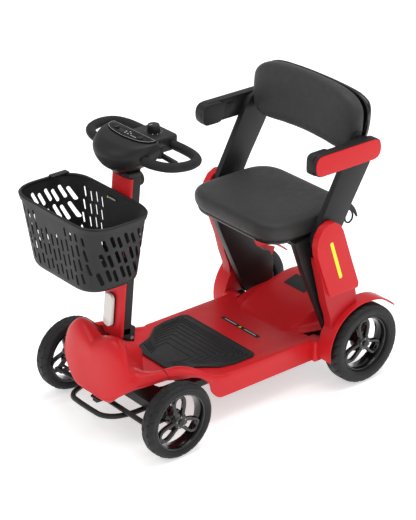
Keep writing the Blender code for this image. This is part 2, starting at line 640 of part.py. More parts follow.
for side, s in (("left", 1), ("right", -1)):
    fender("fender_" + side, s)
    leg = side_plate("seat_leg_" + side, LEG, LEG_IN, LEG_OUT, s, BLACK, 0.006)
    cheek = slab("cheek_" + side, circle((RECLINE_Y, RECLINE_Z), 0.0290, 18), *sorted((s * 0.1796, s * 0.1886)), BLACK)
    spacer = box("spacer_" + side, (min(s * 0.166, s * 0.1860), 0.212, 0.410), (max(s * 0.166, s * 0.1860), 0.252, 0.4370), BLACK)
    stub = rod("recline_pin_" + side, (s * 0.1840, RECLINE_Y, RECLINE_Z), (s * 0.2070, RECLINE_Y, RECLINE_Z), 0.0080, STEEL, 14)
    join(leg, spacer, cheek, stub)
    tower = side_plate("tower_cover_" + side, TOWER, TOWER_IN, TOWER_OUT, s, RED, 0.0, bevel=0.004)
    base = side_plate("tower_base_" + side, TOWER_BASE, 0.1895, 0.2180, s, RED, 0.0)
    join(tower, base)
    bore = [circle((RECLINE_Y, RECLINE_Z), 0.0086, 14)]
    side_plate("back_post_" + side, POST, POST_IN, POST_OUT, s, BLACK, 0.0, holes=bore)

# ================================================================ seat and backrest
pan = box("seat_pan", (-LEG_IN + GAP, 0.172, 0.4160), (LEG_IN - GAP, 0.335, 0.4380), PAINTED, 0.004, 1)
cut(pan, box("pan_room", (-0.145, 0.185, 0.390), (0.145, 0.320, 0.4330), PAINTED))

def seat_ring(inset, z):
    low_x, low_y, high_y = 0.178 - inset, 0.077 + inset, 0.371 - inset
    flat = rounded([(-low_x, low_y), (low_x, low_y), (low_x, high_y), (-low_x, high_y)], 0.095 - 0.6 * inset, 6)
    return [(p.x, p.y, z) for p in flat]


SEAT_RINGS = [(0.040, 0.4390), (0.016, 0.4440), (0.004, 0.4560), (0.0, 0.4720), (0.002, 0.4880), (0.010, 0.4970), (0.024, 0.5000)]
loft("seat_cushion", [seat_ring(inset, z) for inset, z in SEAT_RINGS], VINYL, 0)


def section(x, front, back, low, high):
    """Eight corners of a rounded section of the backrest, square to X."""
    cut_y, cut_z = 0.30 * (back - front), 0.16 * (high - low)
    lean = 0.055
    found = []
    for y, z in (
        (front, low + cut_z), (front, high - cut_z), (front + cut_y, high), (back - cut_y, high),
        (back, high - cut_z), (back, low + cut_z), (back - cut_y, low), (front + cut_y, low),
    ):
        found.append((x, y + lean * (z - 0.72), z))
    return found


BACK_HALF = [
    (0.2000, 0.336, 0.358, 0.715, 0.747),
    (0.1885, 0.326, 0.370, 0.694, 0.768),
    (0.1800, 0.323, 0.374, 0.655, 0.777),
    (0.1650, 0.321, 0.376, 0.642, 0.785),
    (0.1300, 0.321, 0.378, 0.637, 0.796),
    (0.0700, 0.327, 0.378, 0.636, 0.801),
]
stations = [section(x, *rest) for x, *rest in BACK_HALF]
stations += [section(0.0, 0.330, 0.3780, 0.635, 0.804)]
stations += [section(-x, *rest) for x, *rest in reversed(BACK_HALF)]
loft("backrest_cushion", stations, VINYL, 1)

SHELL_HALF = [
    (0.1970, 0.3800, 0.3840, 0.722, 0.745),
    (0.1880, 0.3800, 0.3900, 0.672, 0.760),
    (0.1780, 0.3800, 0.3940, 0.652, 0.770),
    (0.1300, 0.3805, 0.3960, 0.648, 0.784),
]
stations = [section(x, *rest) for x, *rest in SHELL_HALF]
stations += [section(0.0, 0.3810, 0.3970, 0.647, 0.788)]
stations += [section(-x, *rest) for x, *rest in reversed(SHELL_HALF)]
loft("backrest_shell", stations, GLOSS, 0)

ring = pipe(
    "release_lever",
    [
        (0.1850, 0.320, 0.500), (0.1850, 0.342, 0.4895), (0.1850, 0.357, 0.472), (0.1850, 0.3625, 0.454),
        (0.1850, 0.350, 0.4435), (0.1850, 0.333, 0.4455), (0.1850, 0.325, 0.462), (0.1850, 0.319, 0.482),
    ],
    0.0032,
    PAINTED,
    2,
    cyclic=True,
    resolution=1,
)
arm_of_lever = rod("lever_arm", (0.1850, 0.296, 0.508), (0.1850, 0.324, 0.496), 0.0034, PAINTED, 10)
lever_pivot = rod("lever_pivot", (0.1812, 0.293, 0.509), (0.1893, 0.293, 0.509), 0.0075, PAINTED, 12)
join(ring, arm_of_lever, lever_pivot)

# ================================================================ armrests
ARMREST = [(0.166, 0.631), (0.391, 0.631), (0.391, 0.689), (0.166, 0.689)]
ARM_FRONT = [(0.167, 0.632), (0.224, 0.632), (0.238, 0.646), (0.238, 0.688), (0.167, 0.688)]
for side, s in (("left", 1), ("right", -1)):
    arm = side_plate("armrest_" + side, ARMREST, ARM_IN, 0.2255, s, BLACK, 0.028)
    front_block = slab("arm_front_" + side, rounded(ARM_FRONT, 0.018, 3), *sorted((s * 0.1985, s * 0.2200)), BLACK)
    join(arm, front_block)
    side_plate("armrest_cover_" + side, ARMREST, 0.2260, ARM_OUT, s, RED, 0.028, bevel=0.0035)

# ================================================================ tiller
column = tiller_box("tiller_column", (-0.0345, 0.0345), (-0.0220, 0.0040), (0.0100, 0.4400), BLACK, 0.003)
lugs = [
    in_tiller(box(f"lug{s}", (min(s * 0.0192, s * 0.0345), -0.0030, -0.0120), (max(s * 0.0192, s * 0.0345), 0.0345, 0.0300), BLACK, 0.0))
    for s in (1, -1)
]
join(column, *lugs)
block_room = in_tiller(box("block_room", (-0.0190, -0.06, -0.03), (0.0190, 0.060, 0.0330), BLACK))
post_room = in_tiller(box("post_room", (-0.0215, 0.0015, 0.2700), (0.0215, 0.0175, 0.4600), BLACK))
pin_room = rod("pin_room", (-0.05, HINGE_Y, HINGE_Z), (0.05, HINGE_Y, HINGE_Z), 0.0055, BLACK, 12)
cut(column, block_room, post_room, pin_room)

front = [(0.0370, -0.0046), (0.0370, -0.0100), (0.0320, -0.0150), (0.0200, -0.0180), (0.0, -0.0192)]
cover_outline = [Vector(p) for p in front] + [Vector((-x, y)) for x, y in reversed(front[:-1])]
in_tiller(slab("column_cover", cover_outline, 0.0080, 0.4300, RED, "XY", bevel=0.0))

lamp_outline = rounded([(-0.0155, 0.034), (0.0155, 0.034), (0.0155, 0.120), (-0.0155, 0.120)], 0.0150, 4)
lamp = slab("headlight", lamp_outline, 0.0, 0.0105, LENS, "XY", bevel=0.0035)
lamp.matrix_world = (
    Matrix.Translation((0, HEAD_Y, HEAD_Z)) @ Matrix.Rotation(-RAKE, 4, "X") @ Matrix.Translation((0, -0.0197, 0)) @ Matrix.Rotation(math.pi / 2, 4, "X")
)

bracket = in_tiller(box("basket_bracket", (-0.026, -0.0228, 0.2020), (0.026, -0.0197, 0.3400), PAINTED))
shelf = box("bracket_shelf", (-0.026, -0.3400, 0.4530), (0.026, -0.2820, 0.4570), PAINTED)
peg = rod("bracket_peg", (0, -0.3200, 0.4550), (0, -0.3200, 0.4720), 0.0050, PAINTED, 12)
join(bracket, shelf, peg)

lever = in_tiller(box("tilt_lever", (-0.0100, 0.0260, 0.0440), (0.0100, 0.0290, 0.0760), PAINTED))
lever_axis = rod("tilt_axis", along_tiller(0.0720, -0.0268, -0.014), along_tiller(0.0720, -0.0268, 0.014), 0.0042, PAINTED, 12)
ring_points = [
    along_tiller(0.034 + 0.013 * math.sin(a), -0.0275, 0.0125 * math.cos(a)) for a in [2 * math.pi * k / 12 for k in range(12)]
]
lever_ring = pipe("tilt_ring", ring_points, 0.0028, PAINTED, 1, cyclic=True, resolution=1)
join(lever, lever_axis, lever_ring)

turned("height_knob", [(0.0, 0.0), (0.0060, 0.0), (0.0060, 0.006), (0.0170, 0.008), (0.0180, 0.022), (0.0120, 0.026), (0.0, 0.026)],
       along_tiller(0.4120, -0.0226), -AHEAD, BLACK, 18)

# ================================================================ tiller head
post = tiller_box("inner_post", (-0.0210, 0.0210), (-0.0170, -0.0020), (0.2900, 0.4480), STEEL)


def bowl_ring(half, front_y, back_y, z):
    """A ring that is straight along its back and rounded at its front."""
    found = []
    for k in range(13):
        a = math.pi * k / 12
        depth = (back_y - front_y) * 0.86
        found.append((half * math.copysign(abs(math.cos(a)) ** 0.8, math.cos(a)), back_y - 0.14 * (back_y - front_y) - depth * math.sin(a) ** 0.9, z))
    return found + [(-half * 0.90, back_y, z), (-half * 0.3, back_y, z), (half * 0.3, back_y, z), (half * 0.90, back_y, z)]


bowl = [
    bowl_ring(0.029, -0.2720, -0.2180, 0.6895),
    bowl_ring(0.033, -0.2790, -0.2160, 0.6980),
    bowl_ring(0.055, -0.3000, -0.2120, 0.7120),
    bowl_ring(0.082, -0.3110, -0.2080, 0.7330),
    bowl_ring(0.094, -0.3100, -0.2040, 0.7550),
    bowl_ring(0.092, -0.2900, -0.2050, 0.7740),
    bowl_ring(0.087, -0.2620, -0.2080, 0.7810),
]
housing = loft("console_housing", bowl, BLACK, 0)
bridge = box("bridge", (-0.048, -0.2300, 0.7270), (0.048, -0.1180, 0.7680), BLACK, 0.004, 1)
ears = box("ears", (-0.0690, -0.1920, 0.7530), (0.0690, -0.1720, 0.7580), BLACK)
join(housing, bridge, ears)

grip_half = [
    (0.088, -0.2530, 0.744), (0.108, -0.2520, 0.744), (0.134, -0.2440, 0.744), (0.155, -0.2300, 0.744), (0.168, -0.2080, 0.744),
    (0.172, -0.1800, 0.744), (0.161, -0.1530, 0.744), (0.131, -0.1390, 0.744), (0.095, -0.1350, 0.744), (0.050, -0.1350, 0.744), (0.0, -0.1350, 0.744),
]
pipe("handlebar", both_sides(grip_half), 0.0120, FOAM, 2, resolution=2)
wider = both_sides([(0.0860, -0.2530, 0.744)] + grip_half[1:])
cut(housing, pipe("grip_room", wider, 0.0127, FOAM, 2, resolution=2))
BUTTONS = (("power_button", 0.046), ("horn_button", -0.046))
post_top = in_tiller(box("post_top", (-0.0216, 0.0014, 0.4300), (0.0216, 0.0176, 0.4486), BLACK))
cut(housing, post_top)
for name, x in BUTTONS:
    cut(housing, rod(name + "_room", (x, -0.2330, 0.7755), (x, -0.2330, 0.79), 0.0078, BLACK, 14))

moon = [(0.0830, -0.2130), (0.0820, -0.2260), (0.0700, -0.2400), (0.0450, -0.2510), (0.0, -0.2560)]
moon = [Vector(p) for p in moon] + [Vector((-x, y)) for x, y in reversed(moon[:-1])]
panel_holes = [circle((x, -0.2330), 0.0078, 14) for _, x in BUTTONS]
slab("console_panel", moon, 0.7813, 0.7850, GLOSS, "XY", holes=panel_holes)
for name, x in BUTTONS:
    rod(name, (x, -0.2330, 0.7785), (x, -0.2330, 0.7875), 0.0070, RED if name == "power_button" else BLACK, 14)

turned("speed_knob", [(0.0, 0.0), (0.0150, 0.0), (0.0160, 0.004), (0.0150, 0.016), (0.0120, 0.019), (0.0, 0.019)],
       (0.0, -0.1560, 0.7684), (0, 0, 1), BLACK, 20)

for side, s in (("left", 1), ("right", -1)):
    boss = rod("throttle_lever_" + side, (s * 0.0580, -0.1820, 0.7240), (s * 0.0580, -0.1820, 0.7525), 0.0085, BLACK, 14)
    finger = rod("finger_" + side, (s * 0.0600, -0.1800, 0.7310), (s * 0.1080, -0.1720, 0.7230), 0.0068, BLACK, 12, bevel=0.002)
    join(boss, finger)

# ================================================================ basket
BASKET_LOW = (0.133, -0.4510, -0.2850, 0.066, 0.4620)
BASKET_HIGH = (0.166, -0.4690, -0.2770, 0.075, 0.6425)
WALL = 0.0025


def basket_outline(t, extra=0.0, steps=3):
    half, front, back, radius, z = (a + t * (b - a) for a, b in zip(BASKET_LOW, BASKET_HIGH))
    flat = rounded([(-half - extra, front - extra), (half + extra, front - extra), (half + extra, back + extra), (-half - extra, back + extra)], radius, steps)
    return [(p.x, p.y, z) for p in flat]


def basket():
    bm = bmesh.new()
    rows = [[bm.verts.new(p) for p in basket_outline(t)] for t in (0.06, 0.5, 1.0)]
    foot = [bm.verts.new((0.965 * x, -0.368 + 0.965 * (y + 0.368), z)) for x, y, z in basket_outline(0.0)]
    rows.insert(0, foot)
    count = len(foot)
    for low, high in zip(rows, rows[1:]):
        for k in range(count):
            n = (k + 1) % count
            bm.faces.new((low[k], low[n], high[n], high[k]))
    bm.faces.new(reversed(foot))
    bmesh.ops.recalc_face_normals(bm, faces=bm.faces)
    made = from_bmesh("basket", bm, BLACK)
    thick = made.modifiers.new("thickness", "SOLIDIFY")
    thick.thickness = WALL
    thick.offset = -1.0
    thick.use_even_offset = True
    return made


def slots():
    """Rows of slanted slots through the four walls."""
    items = []
    slant = math.radians(14)
    for row, z in enumerate((0.502, 0.550, 0.598)):
        for k in range(-3, 4):
            if abs(k) < 2 and row == 2:
                continue
            items.append((Vector((0.0265 * k, -0.460, z)), (0.0070, 0.050, 0.036), Matrix.Rotation(slant, 3, "Y")))
        for s in (1, -1):
            for k in (-1, 0, 1):
                items.append((Vector((s * 0.150, -0.368 + 0.0270 * k, z)), (0.060, 0.0070, 0.036), Matrix.Rotation(slant, 3, "X")))
    return boxes("basket_slots", items, BLACK)


carrier = basket()
lip_outline = [Vector(p) for p in basket_outline(1.0, -0.0010)]
join(carrier, pipe("basket_lip", lip_outline, 0.0042, BLACK, 1, cyclic=True, resolution=1))
cut(carrier, slots(), rod("peg_hole", (0, -0.3200, 0.44), (0, -0.3200, 0.48), 0.0060, BLACK, 12))

# ---------------------------------------------------------------- centre the model on its box
bpy.context.view_layer.update()
for obj in bpy.data.objects:
    obj.matrix_world = Matrix.Translation((0, BOX_CENTRE_Y, 0)) @ obj.matrix_world
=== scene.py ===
import json
import math

import bmesh
import bpy
from mathutils import Matrix, Vector


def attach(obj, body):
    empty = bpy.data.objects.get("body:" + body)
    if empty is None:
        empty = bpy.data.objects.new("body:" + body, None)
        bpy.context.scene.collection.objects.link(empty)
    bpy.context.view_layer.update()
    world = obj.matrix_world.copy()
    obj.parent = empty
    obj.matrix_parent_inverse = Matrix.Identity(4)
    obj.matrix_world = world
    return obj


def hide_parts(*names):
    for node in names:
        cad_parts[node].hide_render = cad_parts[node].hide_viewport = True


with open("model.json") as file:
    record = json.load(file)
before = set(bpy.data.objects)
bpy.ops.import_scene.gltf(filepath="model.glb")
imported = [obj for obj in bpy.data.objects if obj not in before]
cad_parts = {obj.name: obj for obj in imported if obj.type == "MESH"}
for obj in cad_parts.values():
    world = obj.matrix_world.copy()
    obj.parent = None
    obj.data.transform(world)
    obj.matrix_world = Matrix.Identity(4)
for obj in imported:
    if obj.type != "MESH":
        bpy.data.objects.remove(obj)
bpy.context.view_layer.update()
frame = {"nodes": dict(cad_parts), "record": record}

SHIFT = Vector((0.0, 0.001, 0.0))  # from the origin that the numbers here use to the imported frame
FRONT_AXLE_Y, REAR_AXLE_Y = -0.26, 0.36
FRONT_RADIUS, FRONT_WIDTH = 0.1, 0.044
REAR_RADIUS, REAR_WIDTH = 0.11, 0.058
RIM_RADIUS, RIM_WIDTH = 0.0765, 0.036
DECK_Z = 0.135
RAKE = math.radians(4.9)
HEAD_Y, HEAD_Z = -0.2795, 0.25
RECLINE = RECLINE_Y, RECLINE_Z = 0.232, 0.4385
BACK_LEAN, BACK_LEAN_Z = 0.055, 0.72  # how far the backrest leans for each metre up, and from what height
UP = Vector((0.0, math.sin(RAKE), math.cos(RAKE)))
AHEAD = Vector((0.0, -math.cos(RAKE), math.sin(RAKE)))
TILLER = Matrix.Translation((0, HEAD_Y, HEAD_Z)) @ Matrix.Rotation(-RAKE, 4, "X")


def mm(*points):
    """Points in metres out of points in millimetres."""
    return [tuple(value / 1000 for value in point) for point in points]


# ------------ materials
class Nodes:
    """A short way to add nodes to a material and to wire them."""

    def __init__(self, name):
        self.material = bpy.data.materials.new(name)
        self.material.use_nodes = True
        self.tree = self.material.node_tree
        self.shader = self.tree.nodes["Principled BSDF"]
        self.coords = self.add("ShaderNodeTexCoord").outputs["Object"]

    def add(self, kind, **settings):
        node = self.tree.nodes.new(kind)
        for key, value in settings.items():
            setattr(node, key, value)
        return node

    def wire(self, a, b):
        self.tree.links.new(a, b)

    def noise(self, scale, detail=3.0, rough=0.5, stretch=None):
        node = self.add("ShaderNodeTexNoise")
        node.inputs["Scale"].default_value = scale
        node.inputs["Detail"].default_value = detail
        node.inputs["Roughness"].default_value = rough
        self.wire(self.stretched(stretch), node.inputs["Vector"])
        return node.outputs["Fac"]

    def cells(self, scale, feature="F1"):
        node = self.add("ShaderNodeTexVoronoi", feature=feature)
        node.inputs["Scale"].default_value = scale
        self.wire(self.coords, node.inputs["Vector"])
        return node.outputs["Distance"]

    def stretched(self, stretch):
        if stretch is None:
            return self.coords
        node = self.add("ShaderNodeMapping")
        node.inputs["Scale"].default_value = stretch
        self.wire(self.coords, node.inputs["Vector"])
        return node.outputs["Vector"]

    def spread(self, source, low, high, start=0.3, end=0.7):
        node = self.add("ShaderNodeMapRange")
        node.inputs["From Min"].default_value = start
        node.inputs["From Max"].default_value = end
        node.inputs["To Min"].default_value = low
        node.inputs["To Max"].default_value = high
        self.wire(source, node.inputs["Value"])
        return node.outputs["Result"]

    def blend(self, factor, a, b):
        node = self.add("ShaderNodeMix", data_type="RGBA")
        self.wire(factor, node.inputs["Factor"])
        for value, socket in ((a, node.inputs[6]), (b, node.inputs[7])):
            if isinstance(value, tuple):
                socket.default_value = (*value, 1.0)
            else:
                self.wire(value, socket)
        return node.outputs[2]

    def bump(self, height, distance, strength=1.0, under=None):
        node = self.add("ShaderNodeBump")
        node.inputs["Strength"].default_value = strength
        node.inputs["Distance"].default_value = distance
        self.wire(height, node.inputs["Height"])
        if under is not None:
            self.wire(under, node.inputs["Normal"])
        return node.outputs["Normal"]

    def edges(self):
        geometry = self.add("ShaderNodeNewGeometry")
        return self.spread(geometry.outputs["Pointiness"], 0.0, 1.0, 0.515, 0.56)

    def paint(self, colour, roughness, normal):
        for output, name in ((colour, "Base Color"), (roughness, "Roughness"), (normal, "Normal")):
            self.wire(output, self.shader.inputs[name])

    def give(self, **values):
        """Sets inputs of the shader; an underscore stands for the space in a name."""
        for name, value in values.items():
            self.shader.inputs[name.replace("_", " ")].default_value = value


def tint(colour, factor):
    return tuple(min(1.0, c * factor) for c in colour)


def plastic(name, colour, rough, grain=900.0, depth=0.00004, mottle=0.05, wear=1.5, coat=0.0, gleam=0.5):
    """Moulded plastic or paint: a faint cloudiness, fine surface texture and paler edges."""
    n = Nodes(name)
    cloud = n.spread(n.noise(7.0, 4.0), 0.0, 1.0)
    base = n.blend(cloud, tint(colour, 1 - mottle), tint(colour, 1 + mottle))
    worn = n.add("ShaderNodeMath", operation="MULTIPLY")
    worn.inputs[1].default_value = 0.35
    n.wire(n.edges(), worn.inputs[0])
    pale = tuple(min(1.0, c * wear + 0.012) for c in colour)
    smear = n.noise(26.0, 5.0, 0.6)
    n.paint(
        n.blend(worn.outputs[0], base, pale),
        n.spread(smear, rough - 0.04, rough + 0.06),
        n.bump(n.noise(grain, 2.0), depth),
    )
    n.give(Coat_Weight=coat, Coat_Roughness=0.12, Specular_IOR_Level=gleam)
    return n.material


def rubber(name, colour, rough, grain, depth, dust=0.25):
    """Rubber or foam: matt, with a fine open grain and a little dust in patches."""
    n = Nodes(name)
    cloud = n.spread(n.noise(14.0, 5.0, 0.65), 0.0, 1.0)
    dusty = tuple(c * (1 + dust) + 0.012 * dust for c in colour)
    soft = n.bump(n.noise(grain * 0.3, 3.0), depth * 1.5, 0.6)
    n.paint(
        n.blend(cloud, tint(colour, 0.9), dusty),
        n.spread(n.noise(60.0, 3.0), rough - 0.06, rough + 0.06),
        n.bump(n.cells(grain), depth, 0.8, soft),
    )
    n.give(Specular_IOR_Level=0.35)
    return n.material


def vinyl(name, colour):
    """Grained vinyl: small pebbles between creases, the creases painted darker as painted shade, a soft sheen
    and slow changes of tone.
    """
    n = Nodes(name)
    cloud = n.spread(n.noise(9.0, 5.0, 0.6), 0.0, 1.0)
    # low falls to 0 in the creases between the pebbles, and there the colour is darkened to 0.62 of itself:
    # painted shade in the grain
    low = n.spread(n.cells(780.0, "DISTANCE_TO_EDGE"), 0.0, 1.0, 0.0, 0.16)
    tone = n.blend(cloud, tint(colour, 0.92), tint(colour, 1.1))
    wide = n.bump(n.noise(30.0, 3.0), 0.0012, 0.35)
    n.paint(
        n.blend(low, tint(colour, 0.62), tone),
        n.spread(n.noise(45.0, 4.0), 0.47, 0.6),
        n.bump(low, 0.00018, 0.65, wide),
    )
    n.give(Sheen_Weight=0.12, Sheen_Roughness=0.4)
    return n.material


def metal(name, colour, rough, along=(8.0, 8.0, 400.0)):
    """Plated or bare metal, with fine lines drawn along one direction."""
    n = Nodes(name)
    lines = n.noise(12.0, 4.0, 0.6, along)
    stain = n.spread(n.noise(18.0, 5.0, 0.65), 0.0, 1.0)
    n.paint(
        n.blend(stain, tint(colour, 0.85), tint(colour, 1.1)),
        n.spread(lines, rough - 0.08, rough + 0.1),
        n.bump(lines, 0.00002, 0.5),
    )
    n.give(Metallic=1.0)
    return n.material


def clear_lens(name, colour, ribs, rough=0.12):
    """A translucent moulded lens with a ribbed or prismatic inner face."""
    n = Nodes(name)
    wave = n.add("ShaderNodeTexWave", wave_type="BANDS", bands_direction="Z")
    wave.inputs["Scale"].default_value = ribs
    n.wire(n.coords, wave.inputs["Vector"])
    bands = wave.outputs["Fac"]
    n.paint(
        n.blend(bands, tint(colour, 0.93), tint(colour, 1.04)),
        n.spread(n.noise(40.0), rough, rough + 0.06),
        n.bump(bands, 0.0002, 0.3),
    )
    n.give(Coat_Weight=0.6, Subsurface_Weight=0.15, Subsurface_Radius=(0.004, 0.004, 0.004))
    return n.material


RED = plastic("red_abs", (0.63, 0.014, 0.019), 0.36, 700.0, 0.000016, 0.02, 1.04, coat=0.03, gleam=0.22)
DARK_RED = plastic("dark_red_abs", (0.5, 0.012, 0.017), 0.4, 700.0, 0.00002, 0.03, 1.06, gleam=0.3)
BLACK = plastic("grained_black", (0.009, 0.009, 0.0095), 0.46, 1500.0, 0.00007, 0.1, 2.0, gleam=0.3)
PANEL = plastic("panel_film", (0.0035, 0.0035, 0.004), 0.3, 300.0, 0.000005, 0.05, 1.2, gleam=0.12)
GLOSS = plastic(
    "polished_black", (0.006, 0.006, 0.0065), 0.12, 300.0, 0.00001, 0.05, 1.6, coat=0.35, gleam=0.3
)
PAINTED = plastic("powder_coat", (0.0085, 0.0085, 0.009), 0.38, 1100.0, 0.00008, 0.08, 2.0, gleam=0.32)
RIM = plastic("rim_satin", (0.0055, 0.0055, 0.006), 0.18, 500.0, 0.00002, 0.05, 1.6, coat=0.25, gleam=0.4)
TYRE = rubber("tyre_rubber_worn", (0.0075, 0.0075, 0.008), 0.56, 1300.0, 0.00006, 0.15)
MAT = rubber("mat_rubber_ribbed", (0.0125, 0.0125, 0.013), 0.5, 1500.0, 0.00005, 0.15)
FOAM = rubber("grip_foam_cells", (0.0085, 0.0085, 0.009), 0.74, 1700.0, 0.00014, 0.15)
VINYL = vinyl("seat_vinyl_grain_crease_shade", (0.0185, 0.0178, 0.0178))
PIPING = vinyl("piping_vinyl", (0.011, 0.0105, 0.0105))
ZINC = metal("zinc_plate", (0.52, 0.52, 0.53), 0.34)
BOLT = metal("bolt_steel", (0.3, 0.3, 0.31), 0.38, (90.0, 90.0, 90.0))
LENS = clear_lens("lamp_lens_white", (0.8, 0.77, 0.72), 90.0)
REFLECTOR = clear_lens("reflector_red", (0.42, 0.008, 0.012), 160.0, 0.1)
YELLOW = plastic("yellow_film", (0.95, 0.86, 0.02), 0.42, 900.0, 0.00002, 0.03, 1.0)
LABEL = plastic("label_film", (0.012, 0.012, 0.0125), 0.5, 900.0, 0.00002, 0.06, 1.5, gleam=0.3)
INK = plastic("pale_ink", (0.5, 0.51, 0.52), 0.5, 900.0, 0.00001, 0.03, 1.0)

STEEL_NODES = (
    "chassis_frame", "front_axle", "knuckle_left", "knuckle_right", "tie_rod", "transaxle", "steering_stem",
)
for node in (*STEEL_NODES, "controller_box", "hinge_pin"):
    mesh = frame["nodes"][node].data
    mesh.materials.clear()
    mesh.materials.append(PAINTED if node in STEEL_NODES else BLACK if node == "controller_box" else BOLT)

BODY_OF = {node: body for body, nodes in frame["record"]["behaviour"]["bodies"].items() for node in nodes}


# ------------ modelling helpers
def place(name, mesh, material, smooth=35.0):
    obj = bpy.data.objects.new(name, mesh)
    mesh.materials.clear()
    mesh.materials.append(material)
    mesh.shade_smooth()
    mesh.set_sharp_from_angle(angle=math.radians(smooth))
    bpy.context.scene.collection.objects.link(obj)
    return obj


def from_bmesh(name, bm, material, smooth=35.0):
    mesh = bpy.data.meshes.new(name)
    bm.to_mesh(mesh)
    bm.free()
    return place(name, mesh, material, smooth)


def baked(obj, smooth=35.0):
    """The object with its modifiers and its place worked into its mesh."""
    bpy.context.view_layer.update()
    graph = bpy.context.evaluated_depsgraph_get()
    mesh = bpy.data.meshes.new_from_object(obj.evaluated_get(graph))
    mesh.transform(obj.matrix_world)
    obj.modifiers.clear()
    obj.matrix_world = Matrix.Identity(4)
    obj.data = mesh
    mesh.shade_smooth()
    mesh.set_sharp_from_angle(angle=math.radians(smooth))
    return obj


def bevelled(obj, width, segments=3, angle=32.0):
    edge = obj.modifiers.new("bevel", "BEVEL")
    edge.width = width
    edge.segments = segments
    edge.limit_method = "ANGLE"
    edge.angle_limit = math.radians(angle)
    edge.harden_normals = False
    edge.miter_outer = "MITER_ARC"
    return obj


def combined(target, operation, *others, crossing=False):
    for other in others:
        step = target.modifiers.new(operation.lower(), "BOOLEAN")
        step.operation = operation
        step.solver = "EXACT"
        step.use_self = crossing
        step.object = other
    baked(target)
    for other in others:
        bpy.data.objects.remove(other)
    return target


def cut(target, *others, crossing=False):
    return combined(target, "DIFFERENCE", *others, crossing=crossing)


def merged(target, *others):
    """One object out of several, with no Boolean: for pieces that only touch or run into each other."""
    bm = bmesh.new()
    for obj in (target, *others):
        baked(obj)
        slots = {m.name: k for k, m in enumerate(target.data.materials)}
        first = len(bm.faces)
        bm.from_mesh(obj.data)
        bm.faces.ensure_lookup_table()
        material = obj.data.materials[0]
        if material.name not in slots:
            target.data.materials.append(material)
            slots[material.name] = len(target.data.materials) - 1
        if obj is not target:
            for face in bm.faces[first:]:
                face.material_index = slots[material.name]
    bm.to_mesh(target.data)
    bm.free()
    for other in others:
        bpy.data.objects.remove(other)
    return target


def box(name, corner, other, material, bevel=0.0, segments=3):
    """A box between two opposite corners."""
    low, high = (Vector(ends) for ends in zip(*map(sorted, zip(corner, other))))
    bm = bmesh.new()
    bmesh.ops.create_cube(bm, size=1.0)
    bmesh.ops.scale(bm, vec=high - low, verts=bm.verts)
    bmesh.ops.translate(bm, vec=(low + high) / 2, verts=bm.verts)
    obj = from_bmesh(name, bm, material)
    return baked(bevelled(obj, bevel, segments)) if bevel else obj


def rod(name, start, end, radius, material, sides=40, bevel=0.0):
    start, end = Vector(start), Vector(end)
    along = end - start
    bm = bmesh.new()
    size = {"radius1": radius, "radius2": radius, "depth": along.length}
    bmesh.ops.create_cone(bm, cap_ends=True, segments=sides, **size)
    turn = Vector((0, 0, 1)).rotation_difference(along.normalized()).to_matrix().to_4x4()
    bmesh.ops.transform(bm, matrix=Matrix.Translation((start + end) / 2) @ turn, verts=bm.verts)
    obj = from_bmesh(name, bm, material)
    return baked(bevelled(obj, bevel, 3)) if bevel else obj


def turned(name, profile, centre, axis, material, steps=72, closed=False, bevel=0.0):
    """A profile of (radius, distance along axis) pairs, turned once about the axis through centre."""
    area = sum(a[0] * b[1] - b[0] * a[1] for a, b in zip(profile, profile[1:] + profile[:1]))
    points = list(reversed(profile)) if area > 0 else list(profile)
    count = len(points)
    edges = [(i, (i + 1) % count) for i in range(count if closed else count - 1)]
    mesh = bpy.data.meshes.new(name)
    mesh.from_pydata([(r, 0.0, a) for r, a in points], edges, [])
    obj = place(name, mesh, material)
    turn = Vector((0, 0, 1)).rotation_difference(Vector(axis).normalized())
    obj.matrix_world = Matrix.Translation(centre) @ turn.to_matrix().to_4x4()
    screw = obj.modifiers.new("turn", "SCREW")
    screw.steps = screw.render_steps = steps
    screw.use_merge_vertices = True
    screw.merge_threshold = 0.00001
    screw.use_smooth_shade = True
    if bevel:
        bevelled(obj, bevel, 3, 28.0)
    return baked(obj)


def spline_points(points, per_span=5, cyclic=False):
    """Points of a Catmull-Rom curve through the given ones."""
    points = [Vector(p) for p in points]
    count = len(points)
    found = []
    for i in range(count if cyclic else count - 1):
        if cyclic:
            a, b, c, d = (points[(i + k) % count] for k in (-1, 0, 1, 2))
        else:
            a, b, c, d = (points[min(max(i + k, 0), count - 1)] for k in (-1, 0, 1, 2))
        for step in range(per_span):
            t = step / per_span
            square, cube = (2 * a - 5 * b + 4 * c - d) * t**2, (3 * b - a - 3 * c + d) * t**3
            found.append(0.5 * (2 * b + (c - a) * t + square + cube))
    return found if cyclic else found + [points[-1]]


def meshed(name, curve, matrix, material):
    guide = bpy.data.objects.new(name + "_curve", curve)
    bpy.context.scene.collection.objects.link(guide)
    bpy.context.view_layer.update()
    graph = bpy.context.evaluated_depsgraph_get()
    mesh = bpy.data.meshes.new_from_object(guide.evaluated_get(graph))
    bpy.data.objects.remove(guide)
    bm = bmesh.new()
    bm.from_mesh(mesh)
    bmesh.ops.remove_doubles(bm, verts=bm.verts, dist=0.00001)
    bmesh.ops.transform(bm, matrix=matrix, verts=bm.verts)
    bmesh.ops.recalc_face_normals(bm, faces=bm.faces)
    bm.to_mesh(mesh)
    bm.free()
    return place(name, mesh, material)


def pipe(name, points, radius, material, per_span=8, cyclic=False, resolution=5):
    """A round tube through the points."""
    curve = bpy.data.curves.new(name, "CURVE")
    curve.dimensions = "3D"
    curve.bevel_depth = radius
    curve.bevel_resolution = resolution
    curve.use_fill_caps = True
    path = spline_points(points, per_span, cyclic)
    spline = curve.splines.new("POLY")
    spline.points.add(len(path) - 1)
    for point, position in zip(spline.points, path):
        point.co = (*position, 1.0)
    spline.use_cyclic_u = cyclic
    return meshed(name, curve, Matrix.Identity(4), material)


